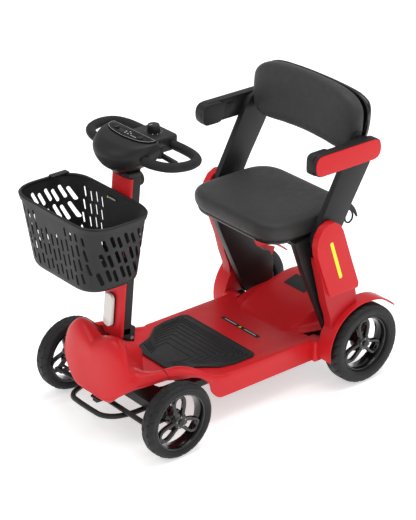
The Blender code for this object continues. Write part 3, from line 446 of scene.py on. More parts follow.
def rounded(corners, radius, steps=6):
    """The closed outline with each corner turned into an arc."""
    points = [Vector(c) for c in corners]
    found = []
    for i, corner in enumerate(points):
        before, after = points[i - 1] - corner, points[(i + 1) % len(points)] - corner
        half = before.angle(after) / 2
        reach = min(radius / math.tan(half), 0.49 * before.length, 0.49 * after.length)
        a, b = corner + before.normalized() * reach, corner + after.normalized() * reach
        for step in range(steps + 1):
            t = step / steps
            found.append((1 - t) ** 2 * a + 2 * t * (1 - t) * corner + t**2 * b)
    return found


def slab(name, outline, low, high, material, plane="YZ", bevel=0.0, holes=(), segments=3):
    """A flat outline with holes, as thick as from low to high along X, or along Z for the XY plane."""
    curve = bpy.data.curves.new(name, "CURVE")
    curve.dimensions = "2D"
    curve.fill_mode = "BOTH"
    curve.extrude = abs(high - low) / 2
    for loop in (outline, *holes):
        spline = curve.splines.new("POLY")
        spline.points.add(len(loop) - 1)
        for point, position in zip(spline.points, loop):
            point.co = (position[0], position[1], 0.0, 1.0)
        spline.use_cyclic_u = True
    if plane == "YZ":
        basis = Matrix(((0, 0, 1, 0), (1, 0, 0, 0), (0, 1, 0, 0), (0, 0, 0, 1)))
        middle = Matrix.Translation(((low + high) / 2, 0, 0))
    else:
        basis = Matrix.Identity(4)
        middle = Matrix.Translation((0, 0, (low + high) / 2))
    obj = meshed(name, curve, middle @ basis, material)
    return baked(bevelled(obj, bevel, segments)) if bevel else obj


def angles(count):
    """Angles all round, equally far apart."""
    return [2 * math.pi * k / count for k in range(count)]


def spun(u, v, angle):
    """The point (u, v) turned about the origin."""
    return u * math.cos(angle) - v * math.sin(angle), u * math.sin(angle) + v * math.cos(angle)


def circle(centre, radius, sides=40):
    return [(centre[0] + radius * math.cos(a), centre[1] + radius * math.sin(a)) for a in angles(sides)]


def toward(value, middle, factor):
    """The value, with its distance from the middle multiplied by the factor."""
    return middle + factor * (value - middle)


def oblong(u0, v0, u1, v1):
    """The corners of a rectangle."""
    return [(u0, v0), (u1, v0), (u1, v1), (u0, v1)]


def net(bm, lines, around=False, rings=True):
    """Faces between neighbouring lines of points; around joins the last line to the first."""
    rows = [[bm.verts.new(p) for p in line] for line in lines]
    count = len(rows[0])
    for low, high in zip(rows, rows[1:] + rows[:1] if around else rows[1:]):
        for k in range(count if rings else count - 1):
            n = (k + 1) % count
            bm.faces.new((low[k], low[n], high[n], high[k]))
    return rows


def loft(name, rings, material, levels=0, smooth=50.0):
    """A skin through rings of equally many points, closed at both ends."""
    bm = bmesh.new()
    rows = net(bm, rings)
    bm.faces.new(reversed(rows[0]))
    bm.faces.new(rows[-1])
    bmesh.ops.recalc_face_normals(bm, faces=bm.faces)
    obj = from_bmesh(name, bm, material, smooth)
    if levels:
        step = obj.modifiers.new("smooth", "SUBSURF")
        step.levels = step.render_levels = levels
        baked(obj, smooth)
    return obj


def finer(lines, along, across, cyclic=True):
    """More lines, with more points on each, on smooth curves through the points of the given ones."""
    wide = [spline_points(line, across, cyclic) for line in lines]
    columns = [spline_points(column, along) for column in zip(*wide)]
    return [list(row) for row in zip(*columns)]


def along_tiller(height, ahead=0.0, x=0.0):
    """A point at a height above the stem's reference point, measured along the raked tiller."""
    return Vector((x, HEAD_Y, HEAD_Z)) + UP * height + AHEAD * ahead


def in_tiller(obj):
    """Turns a piece made with x, y = -ahead and z = height into the raked tiller's frame."""
    obj.data.transform(TILLER)
    return obj


def both_sides(points):
    return list(points) + [(-x, y, z) for x, y, z in reversed(points[:-1])]


def arc(centre_y, centre_z, radius, start, end, count):
    found = []
    for k in range(count):
        a = math.radians(start + (end - start) * k / (count - 1))
        found.append(Vector((centre_y + radius * math.cos(a), centre_z + radius * math.sin(a))))
    return found


def show(obj, *nodes, body=None, slot=None):
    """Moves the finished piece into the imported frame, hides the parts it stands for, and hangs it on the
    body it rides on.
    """
    obj.data.transform(Matrix.Translation(SHIFT))
    if nodes:
        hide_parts(*nodes)
    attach(obj, body or BODY_OF[nodes[0]])
    return obj


def screw_head(name, centre, axis, radius, body):
    """A button-head screw with a hexagon socket."""
    profile = [(0.0, 0.55), (0.35, 0.55), (0.72, 0.42), (0.95, 0.15), (1.0, 0.0), (0.0, 0.0)]
    head = turned(name, [(r * radius, h * radius) for r, h in profile], centre, axis, BOLT, 24)
    centre, reach = Vector(centre), Vector(axis).normalized() * radius
    cut(head, rod(name + "_socket", centre + reach * 0.25, centre + reach, radius * 0.42, LABEL, 6))
    return show(head, body=body, slot="zinc_steel")


# ------------ wheels
def tyre(name, centre, radius, width, blocks):
    """A solid tyre whose tread has slanted grooves that meet the shoulders."""
    half, inner = width / 2, RIM_RADIUS + 0.0003
    side = [
        (inner, RIM_WIDTH / 2), (inner + 0.0012, half - 0.0035), (inner + 0.0032, half - 0.0012),
        (inner + 0.006, half - 0.0006), (inner + 0.0072, half - 0.0014), (inner + 0.009, half - 0.0004),
        (radius - 0.01, half), (radius - 0.0062, half - 0.0016), (radius - 0.0034, half - 0.0045),
        (radius - 0.0014, half - 0.0085), (radius - 0.0004, half - 0.0135),
        (radius, 0.0095), (radius, 0.0062), (radius, 0.003),
    ]
    profile = side + [(radius, 0.0)] + [(r, -x) for r, x in reversed(side)]
    steps = 15 * blocks
    rings = []
    for a in angles(steps):
        ring = []
        for r, x in profile:
            lean = abs(x) / half
            phase = (blocks * a / (2 * math.pi) + 0.95 * lean + (0.5 if x < 0 else 0.0)) % 1.0
            near = max(0.0, 1 - abs(phase - 0.5) / 0.13)
            reach = min(1.0, max(0.0, (r - radius + 0.0078) / 0.005))
            reach *= min(1.0, max(0.0, (lean - 0.12) / 0.1))
            depth = 0.0026 * min(1.0, 1.6 * near) * reach
            ring.append((x, (r - depth) * math.cos(a), (r - depth) * math.sin(a)))
        rings.append(ring)
    bm = bmesh.new()
    net(bm, rings, around=True)
    bmesh.ops.recalc_face_normals(bm, faces=bm.faces)
    bmesh.ops.translate(bm, vec=centre, verts=bm.verts)
    return from_bmesh(name, bm, TYRE, 45.0)


def spoke_bar(name, points, width, depth, material):
    """A bar of oblong section along points in the wheel's plane, about the X axis."""
    path = spline_points([(0, *p) for p in points], 5)
    rings = []
    for i, p in enumerate(path):
        ahead = (path[min(i + 1, len(path) - 1)] - path[max(i - 1, 0)]).normalized()
        across = Vector((1, 0, 0)).cross(ahead)
        lift = 0.0115 + 0.004 * (1 - i / (len(path) - 1))
        ring = []
        for a in angles(12):
            c, s = math.cos(a), math.sin(a)
            swell = (abs(c) ** 4 + abs(s) ** 4) ** -0.25
            height = Vector((lift - depth / 2 + depth / 2 * s * swell, 0, 0))
            ring.append(p + across * (width / 2 * c * swell) + height)
        rings.append(ring)
    return loft(name, rings, material, 0, 55.0)


def rim(name, centre, side):
    """A dished barrel, a hub with its nut, and three U-shaped double spokes."""
    half = RIM_WIDTH / 2
    barrel = turned(
        name,
        [
            (RIM_RADIUS, -half), (RIM_RADIUS, half), (RIM_RADIUS - 0.002, half + 0.0004),
            (RIM_RADIUS - 0.0046, half - 0.0006), (RIM_RADIUS - 0.0062, half - 0.005),
            (RIM_RADIUS - 0.0085, 0.008), (RIM_RADIUS - 0.009, -0.004), (RIM_RADIUS - 0.0065, -half),
        ],
        (0, 0, 0), (1, 0, 0), RIM, 96, closed=True, bevel=0.0006,
    )
    hub = turned(
        name + "_hub",
        mm((0, -16), (22.5, -16), (24, 2), (23, 8.5), (19.5, 12.5), (18, 16.5), (13.5, 17.2), (0, 17.2)),
        (0, 0, 0), (1, 0, 0), RIM, 48, bevel=0.0008,
    )
    parts = [hub]
    for k in range(3):
        turn = math.radians(90 + 120 * k)
        for s in (-1, 1):
            spoke = mm((10, 8.5), (24, 11.5), (38, 15), (51, 16), (60.5, 12.5), (65.5, 5.5), (66.5, 0))
            points = [spun(r, s * off, turn) for r, off in spoke]
            parts.append(spoke_bar(name + "_spoke", points, 0.01, 0.0125, RIM))
        web = mm((13, 7), (28, 6.2), (33, 0))
        loop = web + [(r, -off) for r, off in reversed(web[:-1])]
        outline = [spun(r, off, turn) for r, off in loop]
        parts.append(slab(name + "_web", outline, -0.001, 0.0065, RIM, bevel=0.0008))
    for k in range(5):
        y, z = spun(0.014, 0.0, math.radians(18 + 72 * k))
        parts.append(rod(name + "_stud", (0.012, y, z), (0.018, y, z), 0.0022, BOLT, 6))
    parts.append(rod(name + "_nut", (0.016, 0, 0), (0.0192, 0, 0), 0.0068, BOLT, 6, bevel=0.0006))
    whole = merged(barrel, *parts)
    facing = Matrix.Identity(4) if side > 0 else Matrix.Rotation(math.pi, 4, "Z")
    whole.data.transform(Matrix.Translation(centre) @ facing)
    return whole


WHEELS = {
    "front_left": (0.22, FRONT_AXLE_Y, FRONT_RADIUS, FRONT_WIDTH, 22),
    "front_right": (-0.22, FRONT_AXLE_Y, FRONT_RADIUS, FRONT_WIDTH, 22),
    "rear_left": (0.223, REAR_AXLE_Y, REAR_RADIUS, REAR_WIDTH, 26),
    "rear_right": (-0.223, REAR_AXLE_Y, REAR_RADIUS, REAR_WIDTH, 26),
}
for corner, (x, y, radius, width, blocks) in WHEELS.items():
    show(tyre("tyre_skin_" + corner, (x, y, radius), radius, width, blocks), "tyre_" + corner)
    show(rim("rim_cast_" + corner, (x, y, radius), x), "rim_" + corner)

# ------------ nose, deck and mat
NOSE_LINES = [
    mm(
        (0, -352, 108), (0, -363, 118), (0, -362, 140), (0, -360, 190), (0, -358, 238), (0, -345, 256),
        (0, -322, 264),
    ),
    mm(
        (60, -350, 108), (62, -361, 120), (68, -361, 145), (76, -358, 200), (73, -352, 254), (58, -338, 283),
        (34, -319, 278),
    ),
    mm(
        (100, -345, 140), (107, -352, 150), (116, -352, 175), (121, -345, 216), (112, -337, 252),
        (86, -322, 279), (52, -308, 275),
    ),
    mm(
        (135, -330, 168), (143, -333, 180), (143, -328, 200), (131, -320, 214), (109, -314, 225),
        (84, -304, 246), (55, -288, 260),
    ),
    mm(
        (158, -295, 180), (163, -293, 192), (152, -290, 208), (130, -286, 206), (100, -280, 196),
        (70, -270, 208), (57, -262, 248),
    ),
]
FRONT_DECK = [
    mm(
        (169, -250, 184), (170, -250, 196), (152, -250, 206), (129, -248, 190), (104, -246, 164),
        (66, -240, 156), (52, -236, 214),
    ),
]
DECK_LINES = [
    mm(
        (171, -200, 173), (171, -200, 187), (152, -200, 200), (132, -200, 180), (115, -200, 148),
        (70, -200, 135), (0, -200, 135),
    ),
    mm(
        (171, -150, 157), (171, -150, 167), (155, -150, 178), (138, -150, 158), (120, -150, 137),
        (70, -150, 135), (0, -150, 135),
    ),
    mm(
        (171, -116, 128), (171, -116, 142), (160, -115, 153), (143, -115, 143), (120, -115, 135),
        (70, -115, 135), (0, -115, 135),
    ),
    mm(
        (171, -105, 98), (171, -100, 125), (163, -95, 143), (143, -95, 136.5), (120, -95, 135),
        (70, -95, 135), (0, -95, 135),
    ),
    mm(
        (171, -82, 76), (171, -75, 110), (168, -70, 134), (143, -70, 135), (120, -70, 135), (70, -70, 135),
        (0, -70, 135),
    ),
]
EDGE = mm((171, 73), (171, 98), (171, 127), (163, 135), (120, 135), (70, 135), (0, 135))
DECK_REAR = [[(x, y, z) for x, z in EDGE] for y in (-0.05, 0.2395)]


def skin(name, lines, thickness, material, smooth=60.0):
    """A mirrored thin shell through the lines, with a rounded rim."""
    bm = bmesh.new()
    for side in (1, -1):
        rows = [[bm.verts.new((side * x, y, z)) for x, y, z in line] for line in lines]
        for low, high in zip(rows, rows[1:]):
            for k in range(len(low) - 1):
                corners = (low[k], low[k + 1], high[k + 1], high[k])
                bm.faces.new(corners if side > 0 else tuple(reversed(corners)))
    bmesh.ops.remove_doubles(bm, verts=bm.verts, dist=0.00005)
    bmesh.ops.recalc_face_normals(bm, faces=bm.faces)
    if sum(face.normal.z * face.calc_area() for face in bm.faces) < 0:
        bmesh.ops.reverse_faces(bm, faces=bm.faces)
    obj = from_bmesh(name, bm, material, smooth)
    thick = obj.modifiers.new("thickness", "SOLIDIFY")
    thick.thickness = thickness
    thick.offset = -1.0
    bevelled(obj, 0.0009, 2, 60.0)
    return baked(obj, smooth)


show(skin("nose_skin", finer(NOSE_LINES + FRONT_DECK, 8, 8, False), 0.0035, RED), "nose_cowl")
deck_front = [[(x, y + 0.004, z) for x, y, z in FRONT_DECK[0][:-1]] + [(0.0, -0.222, 0.146)]]
deck_rows = finer(deck_front + DECK_LINES + DECK_REAR[:1], 6, 8, False) + [spline_points(DECK_REAR[1], 8)]
show(skin("deck_skin", deck_rows, 0.004, RED), "deck_cover")

mat_half = mm((56, -162), (84, -140), (100, -95), (136, -50), (146, -10), (146, 52), (136, 66))
mat_corners = [Vector(p) for p in mat_half] + [Vector((-x, y)) for x, y in reversed(mat_half)]
mat_outline = rounded(mat_corners, 0.012, 5)
mat = slab("mat_sheet", mat_outline, DECK_Z + 0.0016, DECK_Z + 0.004, MAT, "XY", bevel=0.0008)
RIB_Z = DECK_Z + 0.0037
ribs = []
for factor in (0.9, 0.86, 0.82, 0.76, 0.69, 0.62, 0.54, 0.45, 0.35):
    path = []
    for p in spline_points([(*p, 0.0) for p in mat_outline], 3):
        if p.y > -0.128:
            wave = 0.0022 * math.sin(75.0 * p.y + 9.0 * factor) * min(1.0, max(0.0, -p.y / 0.05))
            path.append((math.copysign(factor * abs(p.x) + wave, p.x), toward(p.y, -0.15, factor), RIB_Z))
    ribs.append(pipe("rib", path, 0.0019, MAT, 1, resolution=2))
border_path = [(0.96 * p.x, toward(p.y, -0.048, 0.97), RIB_Z) for p in mat_outline]
border = pipe("mat_border", border_path, 0.0012, MAT, 1, True, 2)
show(merged(mat, border, *ribs), "foot_mat")

PRINT_LOW, PRINT_HIGH = DECK_Z + 0.0004, DECK_Z + 0.0007
strip_outline = rounded(oblong(-0.074, 0.127, 0.074, 0.14), 0.002)
strip = slab("deck_label", strip_outline, DECK_Z, DECK_Z + 0.0005, LABEL, "XY")
mark = slab("deck_mark", mm((-5, 129.5), (5, 129.5), (0, 137.8)), PRINT_LOW, PRINT_HIGH, YELLOW, "XY")
ends = [
    slab("deck_bar", oblong(s * 0.016, 0.132, s * 0.062, 0.135), PRINT_LOW, PRINT_HIGH, INK, "XY")
    for s in (1, -1)
]
show(merged(strip, mark, *ends), body="chassis", slot="gloss_black")

# ------------ rear cover, battery and drive
HUMP = mm(
    (196, 112, 134.6), (208, 116, 137.2), (222, 122, 143.2), (240, 130, 151), (265, 140, 163),
    (296, 150, 176.5), (339, 155, 190.5), (385, 155, 200), (425, 153, 198.5), (446, 148, 187.5),
)
hump_lines = []
for y, flange, top in HUMP:
    rise = top - 0.1346
    foot = 0.1342 if y < 0.24 else 0.138
    shoulder = flange - 0.016 - 0.022 * min(1.0, rise / 0.05)
    hump_lines.append(
        [
            (flange, y, foot),
            (shoulder + 0.006, y, foot + 0.0012 * min(1.0, rise / 0.01)),
            (shoulder - 0.004, y, foot + 0.16 * rise),
            (shoulder - 0.013, y, foot + 0.66 * rise),
            (shoulder - 0.026, y, top - 0.1 * rise),
            (0.052, y, top - 0.01 * rise),
            (0.0, y, top),
        ]
    )
show(skin("hump_skin", finer(hump_lines, 5, 6, False), 0.003, RED, 55.0), "rear_cover")

hump_label = []
for y in (0.328, 0.3395, 0.351, 0.3625, 0.374):
    z = 0.1905 + (y - 0.339) * (0.225 if y > 0.339 else 0.335)
    hump_label.append([(x, y, z + 0.0006) for x in (-0.048, -0.01, 0.034)])
plate_mesh = bmesh.new()
net(plate_mesh, hump_label, rings=False)
hump_plate = from_bmesh("hump_label", plate_mesh, LABEL)
step = hump_plate.modifiers.new("thickness", "SOLIDIFY")
step.thickness = 0.0006
step.offset = 1.0
show(baked(hump_plate), body="chassis", slot="gloss_black")

pack = box("battery_case", (-0.066, 0.31, 0.1282), (0.066, 0.438, 0.168), BLACK, 0.004)
grip_path = mm((-30, 434, 150), (-28, 452, 150), (28, 452, 150), (30, 434, 150))
pack_grip = pipe("battery_grip", grip_path, 0.004, BLACK, 6)
show(merged(pack, pack_grip), "battery_pack")
lamp_case = box("tail_lamp", (-0.06, 0.4335, 0.096), (0.06, 0.44, 0.118), REFLECTOR, 0.0022)
show(lamp_case, "tail_light")
profile = mm((0, 0), (11, 0), (11, 7), (9.5, 8.4), (3, 8.6), (0, 7))
socket = turned("socket_cap", profile, (-0.09, 0.4335, 0.11), (0, 1, 0), BLACK, 48)
show(socket, "charge_socket")
lever_rod = rod("freewheel_arm", (0.134, 0.442, 0.105), (0.134, 0.464, 0.1105), 0.0034, RED, 24, bevel=0.001)
lever_tip = rod("freewheel_tip", (0.134, 0.46, 0.1095), (0.134, 0.466, 0.111), 0.004, RED, 24, bevel=0.0012)
lever_boss = rod("freewheel_boss", (0.126, 0.441, 0.105), (0.142, 0.441, 0.105), 0.006, RED, 32, bevel=0.001)
show(merged(lever_rod, lever_tip, lever_boss), "freewheel_lever")

for side, s in (("left", 1), ("right", -1)):
    corner = box("deck_corner_" + side, (s * 0.146, 0.23, 0.074), (s * 0.1882, 0.264, 0.1346), RED, 0.006, 4)
    show(corner, body="chassis", slot="red_plastic")

bumper_half = mm(
    (100, -235, 80), (96, -300, 78), (83, -345, 78), (60, -370, 80), (30, -375.5, 81.5), (0, -376, 81.5)
)
show(pipe("bumper_tube", both_sides(bumper_half), 0.007, PAINTED, 10, resolution=6), "front_bumper")


# ------------ fenders, legs and tower covers
def fender(name, s):
    """An arched roof over a rear wheel, with a wall on its inner side."""
    sweep = [190 - 4 * k for k in range(39)] + [36]
    reach = [0.1218 + max(0.0, 84 - a) * 0.00027 for a in sweep]

    def at_radius(inset):
        spots = [spun(r - inset, 0.0, math.radians(a)) for a, r in zip(sweep, reach)]
        return [Vector((REAR_AXLE_Y + y, REAR_RADIUS + z)) for y, z in spots]

    roof_outline = at_radius(0.0) + list(reversed(at_radius(0.0034)))
    roof = slab(name, roof_outline, s * 0.188, s * 0.236, RED, bevel=0.0013)
    wall_outline = arc(REAR_AXLE_Y, REAR_RADIUS, 0.12, 186, 60, 40)
    wall_outline += [Vector((0.4, 0.17)), Vector((0.262, 0.1))]
    return merged(roof, slab(name + "_wall", wall_outline, s * 0.1876, s * 0.1906, RED))


LEG = mm(
    (288, 129), (270, 170), (192, 345), (157, 438), (262, 438), (266, 392), (288, 332), (306, 292),
    (324, 258), (346, 240), (374, 227), (387, 199), (385, 129),
)
TOWER = mm(
    (239, 280), (211, 352), (190, 410), (186.5, 436), (192, 461), (206, 481), (228, 491.5), (247, 490),
    (265, 478), (277, 458), (306, 378), (338.5, 292), (337, 279),
)
POST = mm(
    (198, 450), (211, 479), (262, 575), (308, 662), (322, 682), (345, 689), (372, 684), (386, 668),
    (388, 640), (378, 610), (322, 516), (294, 463), (272, 436), (262, 418), (246, 405), (226, 403),
    (207, 412), (197, 430),
)
BASE_TOP = mm((342, 249), (334, 285), (322, 312), (262, 390), (203, 390), (204, 376), (238, 251), (253, 210))
TOWER_BASE = arc(REAR_AXLE_Y, REAR_RADIUS, 0.1224, 146, 98, 30) + [Vector(p) for p in BASE_TOP]


def plate(name, outline, low_x, high_x, s, material, bevel=0.0, holes=(), segments=3):
    """A slab across X, on the left for s = 1 and on the right for s = -1."""
    return slab(name, outline, s * low_x, s * high_x, material, "YZ", bevel, holes, segments)


def stripe(name, start, end, width, x, s, material):
    """A thin strip with round ends on a side face."""
    a, b = Vector(start), Vector(end)
    along = (b - a).normalized()
    across = Vector((-along.y, along.x))
    outline = []
    for centre, first in ((b, 90), (a, 270)):
        for k in range(13):
            t = math.radians(first - 15 * k)
            outline.append(centre + (along * math.cos(t) + across * math.sin(t)) * width / 2)
    return plate(name, outline, x, x + 0.0004, s, material)


for side, s in (("left", 1), ("right", -1)):
    show(fender("fender_skin_" + side, s), "fender_" + side)
    leg = plate("leg_plate_" + side, rounded(LEG, 0.008, 4), 0.156, 0.176, s, PAINTED, 0.0022)
    cheek = plate("cheek", circle(RECLINE, 0.029, 64), 0.1796, 0.1886, s, PAINTED, 0.0012)
    spacer = box("spacer", (s * 0.166, 0.212, 0.41), (s * 0.186, 0.252, 0.437), PAINTED, 0.001)
    stub = rod("recline_pin", (s * 0.184, *RECLINE), (s * 0.207, *RECLINE), 0.008, ZINC, 32)
    show(merged(leg, cheek, spacer, stub), "seat_leg_" + side)
    tower = plate("tower_skin_" + side, rounded(TOWER, 0.01, 5), 0.208, 0.228, s, RED, 0.0042, segments=5)
    inner = plate("tower_inner", TOWER_BASE, 0.1895, 0.218, s, DARK_RED, 0.0012)
    show(merged(tower, inner), "tower_cover_" + side)
    band = stripe("tower_stripe_" + side, (0.2365, 0.432), (0.2725, 0.33), 0.0105, 0.2279, s, YELLOW)
    show(band, body="chassis", slot="lamp_lens")
    pin_hole = circle(RECLINE, 0.0086, 32)
    post = plate("post_plate_" + side, rounded(POST, 0.01, 4), 0.19, 0.2065, s, PAINTED, 0.0018, [pin_hole])
    show(post, "back_post_" + side)

# ------------ seat and backrest
pan = box("pan_tray", (-0.1555, 0.172, 0.416), (0.1555, 0.335, 0.438), PAINTED, 0.004)
show(cut(pan, box("pan_room", (-0.145, 0.185, 0.39), (0.145, 0.32, 0.433), PAINTED)), "seat_pan")


def seat_ring(inset, z, extra=0.0):
    half, front_y, back_y = 0.178 - inset - extra, 0.077 + inset + extra, 0.371 - inset - extra
    corners = oblong(-half, front_y, half, back_y)
    return [(p.x, p.y, z) for p in rounded(corners, 0.08 - 0.55 * inset, 10)]


def lean(z):
    return BACK_LEAN * (z - BACK_LEAN_Z)


def section(x, front, back, low, high, power=4.2, count=32):
    """A rounded oblong section of the backrest, square to X, that leans back a little."""
    y0, y1, z0, z1 = (front + back) / 2, (back - front) / 2, (low + high) / 2, (high - low) / 2
    found = []
    for a in angles(count):
        c, s = math.cos(a), math.sin(a)
        swell = (abs(c) ** power + abs(s) ** power) ** (-1 / power)
        y, z = y0 + y1 * c * swell, z0 + z1 * s * swell
        found.append((x, y + lean(z), z))
    return found


SWELL_FRAMES = 14
PAD_VOXEL, PAD_PRESSURE = 0.0048, 4.0


def inflated(obj, cap, keep):
    """Blows the piece up like a stuffed cover; no point moves out by more than cap, and keep bounds them."""
    voxels = obj.modifiers.new("voxels", "REMESH")
    voxels.mode = "VOXEL"
    voxels.voxel_size = PAD_VOXEL
    baked(obj, 80.0)
    before = [v.co.copy() for v in obj.data.vertices]
    normals = [v.normal.copy() for v in obj.data.vertices]
    swell = [1.0] * len(before)
    cloth = obj.modifiers.new("cloth", "CLOTH")
    cloth.settings.use_pressure = True
    cloth.settings.uniform_pressure_force = PAD_PRESSURE
    cloth.settings.effector_weights.gravity = 0.0
    cloth.settings.tension_stiffness = 12.0
    cloth.settings.compression_stiffness = 12.0
    cloth.settings.bending_stiffness = 0.6
    cloth.settings.quality = 6
    cloth.point_cache.frame_start = 1
    cloth.point_cache.frame_end = SWELL_FRAMES
    scene = bpy.context.scene
    for k in range(1, SWELL_FRAMES + 1):
        scene.frame_set(k)
    graph = bpy.context.evaluated_depsgraph_get()
    blown = [v.co.copy() for v in obj.evaluated_get(graph).data.vertices]
    obj.modifiers.clear()
    scene.frame_set(1)
    outward = [(new - old).dot(normal) for old, new, normal in zip(before, blown, normals)]
    full = max(1e-6, sorted(outward)[int(0.9 * len(outward))])
    swell = [min(1.0, max(0.0, value / full)) for value in outward]
    for vertex, old, normal, part in zip(obj.data.vertices, before, normals, swell):
        vertex.co = keep(old + normal * cap * (0.45 + 0.5 * part))
    settle = obj.modifiers.new("settle", "SMOOTH")
    settle.factor = 0.5
    settle.iterations = 6
    finer = obj.modifiers.new("finer", "SUBSURF")
    finer.levels = finer.render_levels = 1
    return baked(obj, 80.0)


SEAT_FOOT = 0.4392


def in_seat(p):
    """Keeps the seat flat where it rests, and dished a little where the rider sits."""
    z = max(p.z, SEAT_FOOT)
    dish = math.exp(-((p.x / 0.105) ** 2) - ((p.y - 0.205) / 0.095) ** 2)
    if z > 0.485:
        z -= 0.0042 * dish * min(1.0, (z - 0.485) / 0.008)
    return Vector((min(max(p.x, -0.1785), 0.1785), min(max(p.y, 0.0765), 0.3712), min(z, 0.501)))


SEAT_RINGS = mm((44, 439.2), (20, 443), (7, 455), (3, 471), (4, 485), (11, 492.5), (26, 495.5))
seat_rings = [seat_ring(inset, z, 0.003) for inset, z in SEAT_RINGS]
seat = loft("seat_pad", finer(seat_rings, 3, 1), VINYL)
inflated(seat, 0.0055, in_seat)
show(seat, "seat_cushion")
base_rings = [seat_ring(inset, z) for inset, z in mm((20, 438.4), (13.5, 439.2), (12.5, 444), (16, 445.5))]
base = loft("seat_base", base_rings, GLOSS)
show(base, body="chassis", slot="seat_vinyl")
welt = pipe("seat_welt", seat_ring(0.0135, 0.4462), 0.0016, PIPING, 1, True, 3)
show(welt, body="chassis", slot="seat_vinyl")

BACK_STATIONS = mm(
    (198.5, 337, 359, 696, 745), (195, 330.5, 366, 676, 759), (186, 324.5, 371, 656, 770),
    (172, 321.5, 375, 642, 781), (150, 321, 376.5, 637, 790), (120, 323.5, 377, 637.5, 796),
    (80, 327.5, 377, 639.5, 799.5), (40, 330.5, 377, 640.5, 801),
)


def in_back(p):
    """Keeps the pad clear of the shell behind it."""
    back = lean(p.z)
    reach = 0.1885 + 0.011 * min(1.0, max(0.0, (p.z - 0.69) / 0.018))
    y = min(max(p.y, 0.3205 + back), 0.3782 + back)
    return Vector((min(max(p.x, -reach), reach), y, min(max(p.z, 0.636), 0.8022)))


def thinner(station, by=0.004):
    x, front, back, low, high = station
    return section(math.copysign(max(abs(x) - by, 0.0), x), front + by, back - by, low + by, high - by)


halves = [thinner(s) for s in BACK_STATIONS]
middle = [thinner((0.0, 0.3315, 0.377, 0.641, 0.8015))]
others = [thinner((-s[0], *s[1:])) for s in reversed(BACK_STATIONS)]
pad = loft("back_pad", halves + middle + others, VINYL)
inflated(pad, 0.0058, in_back)
show(pad, "backrest_cushion")

SHELL_STATIONS = mm(
    (197, 374.5, 384, 718, 747), (190.5, 374.5, 389, 688, 762), (178, 374.5, 393, 660, 772),
    (150, 374.5, 395, 650, 781), (110, 375, 396.2, 648, 785), (50, 375, 397, 647, 787.5),
)
shell_rings = [section(*s, 4.0) for s in SHELL_STATIONS]
shell_rings += [section(0.0, 0.375, 0.397, 0.647, 0.788, 4.0)]
shell_rings += [section(-s[0], *s[1:], 4.0) for s in reversed(SHELL_STATIONS)]
show(loft("back_shell", finer(shell_rings, 2, 1), GLOSS), "backrest_shell")

SEAM = mm(
    (0, 793.5), (60, 792), (120, 788), (155, 781), (178, 770), (191, 754), (195, 734), (191, 708), (180, 681),
    (162, 660), (130, 648), (70, 644), (0, 643.5),
)
seam_half = [(x, 0.375 + lean(z), z) for x, z in SEAM]
seam_loop = seam_half + [(-x, y, z) for x, y, z in reversed(seam_half[1:-1])]
show(pipe("back_welt", seam_loop, 0.0019, PIPING, 6, True, 3), body="backrest", slot="seat_vinyl")

hook_points = mm((322, 492), (337, 485), (346.5, 472), (346, 457), (335, 449), (323, 456), (319, 474))
hook = pipe("release_ring", [(0.185, y, z) for y, z in hook_points], 0.0026, PAINTED, 8, True, 5)
claw = mm(
    (292, 510, 6), (308, 507.5, 7.8), (326, 501, 8.2), (342, 490, 7), (353, 477, 5.2), (360, 464, 3.2),
    (362, 459, 1.6),
)
claw_rings = []
for y, z, half in claw:
    tilt = 0.25 if y < 0.32 else 0.85 if y < 0.35 else 1.15
    across = Vector((0, math.sin(tilt), math.cos(tilt)))
    ring = [Vector((0.185 + 0.0038 * math.cos(a), y, z)) + across * half * math.sin(a) for a in angles(16)]
    claw_rings.append(ring)
hook_arm = loft("release_arm", finer(claw_rings, 4, 1), PAINTED)
boss_ends = [(x, 0.293, 0.509) for x in (0.1812, 0.1893)]
hook_boss = rod("release_boss", *boss_ends, 0.0075, PAINTED, 32, bevel=0.0012)
show(merged(hook, hook_arm, hook_boss), "release_lever")

# ------------ armrests
ARMREST = oblong(0.166, 0.631, 0.391, 0.689)
ARM_COVER = oblong(0.1682, 0.6332, 0.3888, 0.6868)
ARM_FRONT = mm((167, 632), (224, 632), (238, 646), (238, 688), (167, 688))
ARM_STEP = mm((232, 640), (258, 640), (264, 648), (280, 648), (280, 674), (252, 674), (244, 684), (232, 684))
for side, s in (("left", 1), ("right", -1)):
    outline = rounded(ARMREST, 0.028, 12)
    arm = plate("arm_body_" + side, outline, 0.2085, 0.2316, s, BLACK, 0.0034, segments=4)
    block = plate("arm_front", rounded(ARM_FRONT, 0.018, 8), 0.1985, 0.22, s, BLACK, 0.0034, segments=4)
    step_block = plate("arm_step", rounded(ARM_STEP, 0.004, 3), 0.205, 0.21, s, BLACK, 0.001)
    pin = rod("arm_pin", (s * 0.2068, 0.325, 0.66), (s * 0.21, 0.325, 0.66), 0.01, PAINTED, 40, bevel=0.0006)
    show(merged(arm, block, step_block, pin), "armrest_" + side)
    outline = rounded(ARM_COVER, 0.0262, 12)
    cover = plate("arm_cover_skin_" + side, outline, 0.229, 0.2345, s, RED, 0.003, segments=5)
    show(cover, "armrest_cover_" + side)

